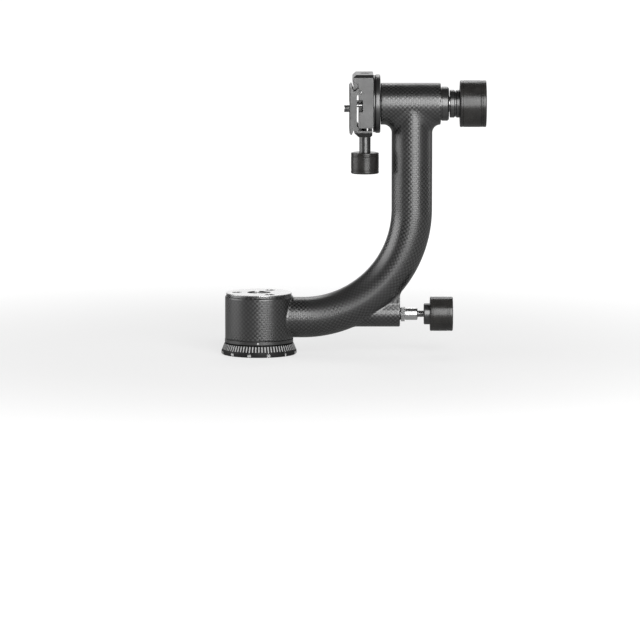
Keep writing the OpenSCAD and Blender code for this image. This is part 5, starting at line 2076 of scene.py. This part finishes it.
@dataclass
class Studio:
    """A pale floor, a white surround, soft lamps and the camera.

    Attributes:
        aim: the point that the lamps face, in metres.
        lamp_distance: how far from it they hang, in metres.
        ambient: the surround's strength on matt surfaces.
        front_gloss: what glossy surfaces see of the studio behind the camera.
        gloss_from: how far back a reflection must look before it starts to see the white backdrop.
        gloss_to: from where on it sees nothing else.
        floor_side: half the floor's width, in metres.
        floor_z: its height, just under the mounting face, in metres.
        floor_albedo: the floor's own colour.
        floor_mottle: how much lighter its light patches are.
        floor_roughness: its roughness.
        floor_specular: its specular level.
        patches_per_m: how many patches there are to a metre.
        floor_glow: what lifts the floor to white for the camera, near the head.
        floor_near: how far from the pan axis that glow starts to grow, in metres.
        floor_far: where the glow alone is white.
        floor_gloss: the glow that glossy surfaces see in the floor.
        mm_per_px: the photograph's scale on the head's middle plane.
        up_mm_per_px: the same upward, which the camera's tilt foreshortens.
        origin_px: the pixel of the pan axis at the mounting face.
        distance: the camera's distance in metres.
        elevation_deg: how far the camera looks down.
    """

    aim: tuple[float, float, float] = (0.08, 0.0, 0.12)
    lamp_distance: float = 1.6
    ambient: float = 0.22
    front_gloss: float = 0.04
    gloss_from: float = 0.8
    gloss_to: float = 0.93
    floor_side: float = 30.0
    floor_z: float = -0.0003
    floor_albedo: float = 0.3
    floor_mottle: float = 1.03
    floor_roughness: float = 0.9
    floor_specular: float = 0.1
    patches_per_m: float = 3.0
    floor_glow: float = 0.66
    floor_near: float = 0.15
    floor_far: float = 0.9
    floor_gloss: float = 0.08
    mm_per_px: float = 0.8655
    up_mm_per_px: float = 0.869
    origin_px: tuple[float, float] = (259.0, 353.3)
    distance: float = 4.0
    elevation_deg: float = 7.0

    def lamps(self) -> list[Softbox]:
        """The lamps: a tall key at the right front, one on each side and one above the back.

        Returns:
            The lamps, before they hang in the scene.
        """
        return [
            Softbox("key", 18, 13, self.lamp_distance, width=1.1, height=1.6, radiance=4.8),
            Softbox("left_side", -88, 12, self.lamp_distance, width=1.4, height=1.1, radiance=2.3),
            Softbox("right_rim", 115, 12, self.lamp_distance, width=0.3, height=1.0, radiance=1.6),
            Softbox("back_top", 180, 40, self.lamp_distance, width=0.8, height=0.5, radiance=2.5),
        ]

    def camera(self) -> None:
        """Sets the camera where the photograph was taken from."""
        middle = PHOTO_SIDE_PX / 2
        x = (middle - self.origin_px[0]) * self.mm_per_px * METRES_PER_MM
        z = (self.origin_px[1] - middle) * self.up_mm_per_px * METRES_PER_MM
        e = math.radians(self.elevation_deg)
        away = Vector((0.0, -math.cos(e), math.sin(e)))
        sensor_mm, near, far = 36.0, 0.1, 100.0
        data = bpy.data.cameras.new("photo_camera")
        data.sensor_width = sensor_mm
        data.lens = data.sensor_width * self.distance / (PHOTO_SIDE_PX * self.mm_per_px * METRES_PER_MM)
        data.clip_start, data.clip_end = near, far
        holder = bpy.data.objects.new("photo_camera", data)
        holder.location = Vector((x, 0.0, z)) + away * self.distance
        holder.rotation_mode = "QUATERNION"
        holder.rotation_quaternion = (-away).to_track_quat("-Z", "Y")
        bpy.context.scene.collection.objects.link(holder)
        bpy.context.scene.camera = holder

    def surround(self) -> None:
        """A surround that is white to the eye and in reflections, and dimmer for the lamps' share."""
        world = bpy.data.worlds.new("surround")
        world.use_nodes = True
        bpy.context.scene.world = world
        g = Graph(world.node_tree)
        g.tree.nodes.clear()
        path = g.add("ShaderNodeLightPath")
        towards = g.add("ShaderNodeSeparateXYZ", {0: g.add("ShaderNodeTexCoord").outputs["Generated"]})
        gloss = g.spread(towards.outputs[1], self.gloss_from, self.gloss_to, to_low=self.front_gloss)
        seen = g.math("MAXIMUM", path.outputs["Is Glossy Ray"], path.outputs["Is Transmission Ray"])
        strength = g.blend_numbers(seen, self.ambient, gloss)
        strength = g.blend_numbers(path.outputs["Is Camera Ray"], strength, 1.0)
        light = g.add("ShaderNodeBackground", {"Color": (1, 1, 1, 1), "Strength": strength})
        output = g.add("ShaderNodeOutputWorld")
        g.tree.links.new(light.outputs[0], output.inputs[0])

    def floor(self) -> None:
        """A wide pale floor just under the mounting face. It keeps the head's shadow."""
        side, z = self.floor_side, self.floor_z
        corners = [(-side, -side, z), (side, -side, z), (side, side, z), (-side, side, z)]
        mesh = bpy.data.meshes.new("floor")
        mesh.from_pydata(corners, [], [(0, 1, 2, 3)])
        holder = bpy.data.objects.new("floor", mesh)
        bpy.context.scene.collection.objects.link(holder)
        finish = bpy.data.materials.new("pale_floor")
        g = FinishGraph(finish)
        path = g.add("ShaderNodeLightPath")
        mirrored = g.math("MAXIMUM", path.outputs["Is Glossy Ray"], path.outputs["Is Transmission Ray"])
        tone = g.noise(g.place, self.patches_per_m)
        away = g.vector("LENGTH", g.place, out=1)
        glow = g.spread(away, self.floor_near, self.floor_far, to_low=self.floor_glow)
        in_metal = g.math("MULTIPLY", mirrored, self.floor_gloss)
        glow = g.blend_numbers(path.outputs["Is Camera Ray"], in_metal, glow)
        pale, paler = grey(self.floor_albedo), grey(self.floor_albedo * self.floor_mottle)
        g.set_shader(
            Base_Color=g.blend_colours(tone, pale, paler),
            Roughness=self.floor_roughness,
            Specular_IOR_Level=self.floor_specular,
            Emission_Color=(1, 1, 1, 1),
            Emission_Strength=glow,
        )
        mesh.materials.append(finish)

    def build(self) -> None:
        """Sets up the camera, the surround, the floor and the lamps."""
        self.camera()
        self.surround()
        self.floor()
        for lamp in self.lamps():
            lamp.build(Vector(self.aim))
        bpy.context.scene.view_settings.view_transform = "Standard"


# ---------------------------------------------------------------- the whole head


def main() -> None:
    """Builds the studio and every sub-assembly of the head."""
    logging.basicConfig(level=logging.INFO, format="%(name)s: %(message)s")
    Studio().build()
    assemblies = (
        GraduatedBase(),
        CarbonArm(),
        PanHousingFittings(),
        TiltHousingFittings(),
        TiltGroup(),
        TiltLock(),
        ClampLock(),
        PanLock(),
        QuickPlate(),
    )
    for assembly in assemblies:
        LOG.info("building %s", type(assembly).__name__)
        assembly.build()


if __name__ == "__main__":
    main()
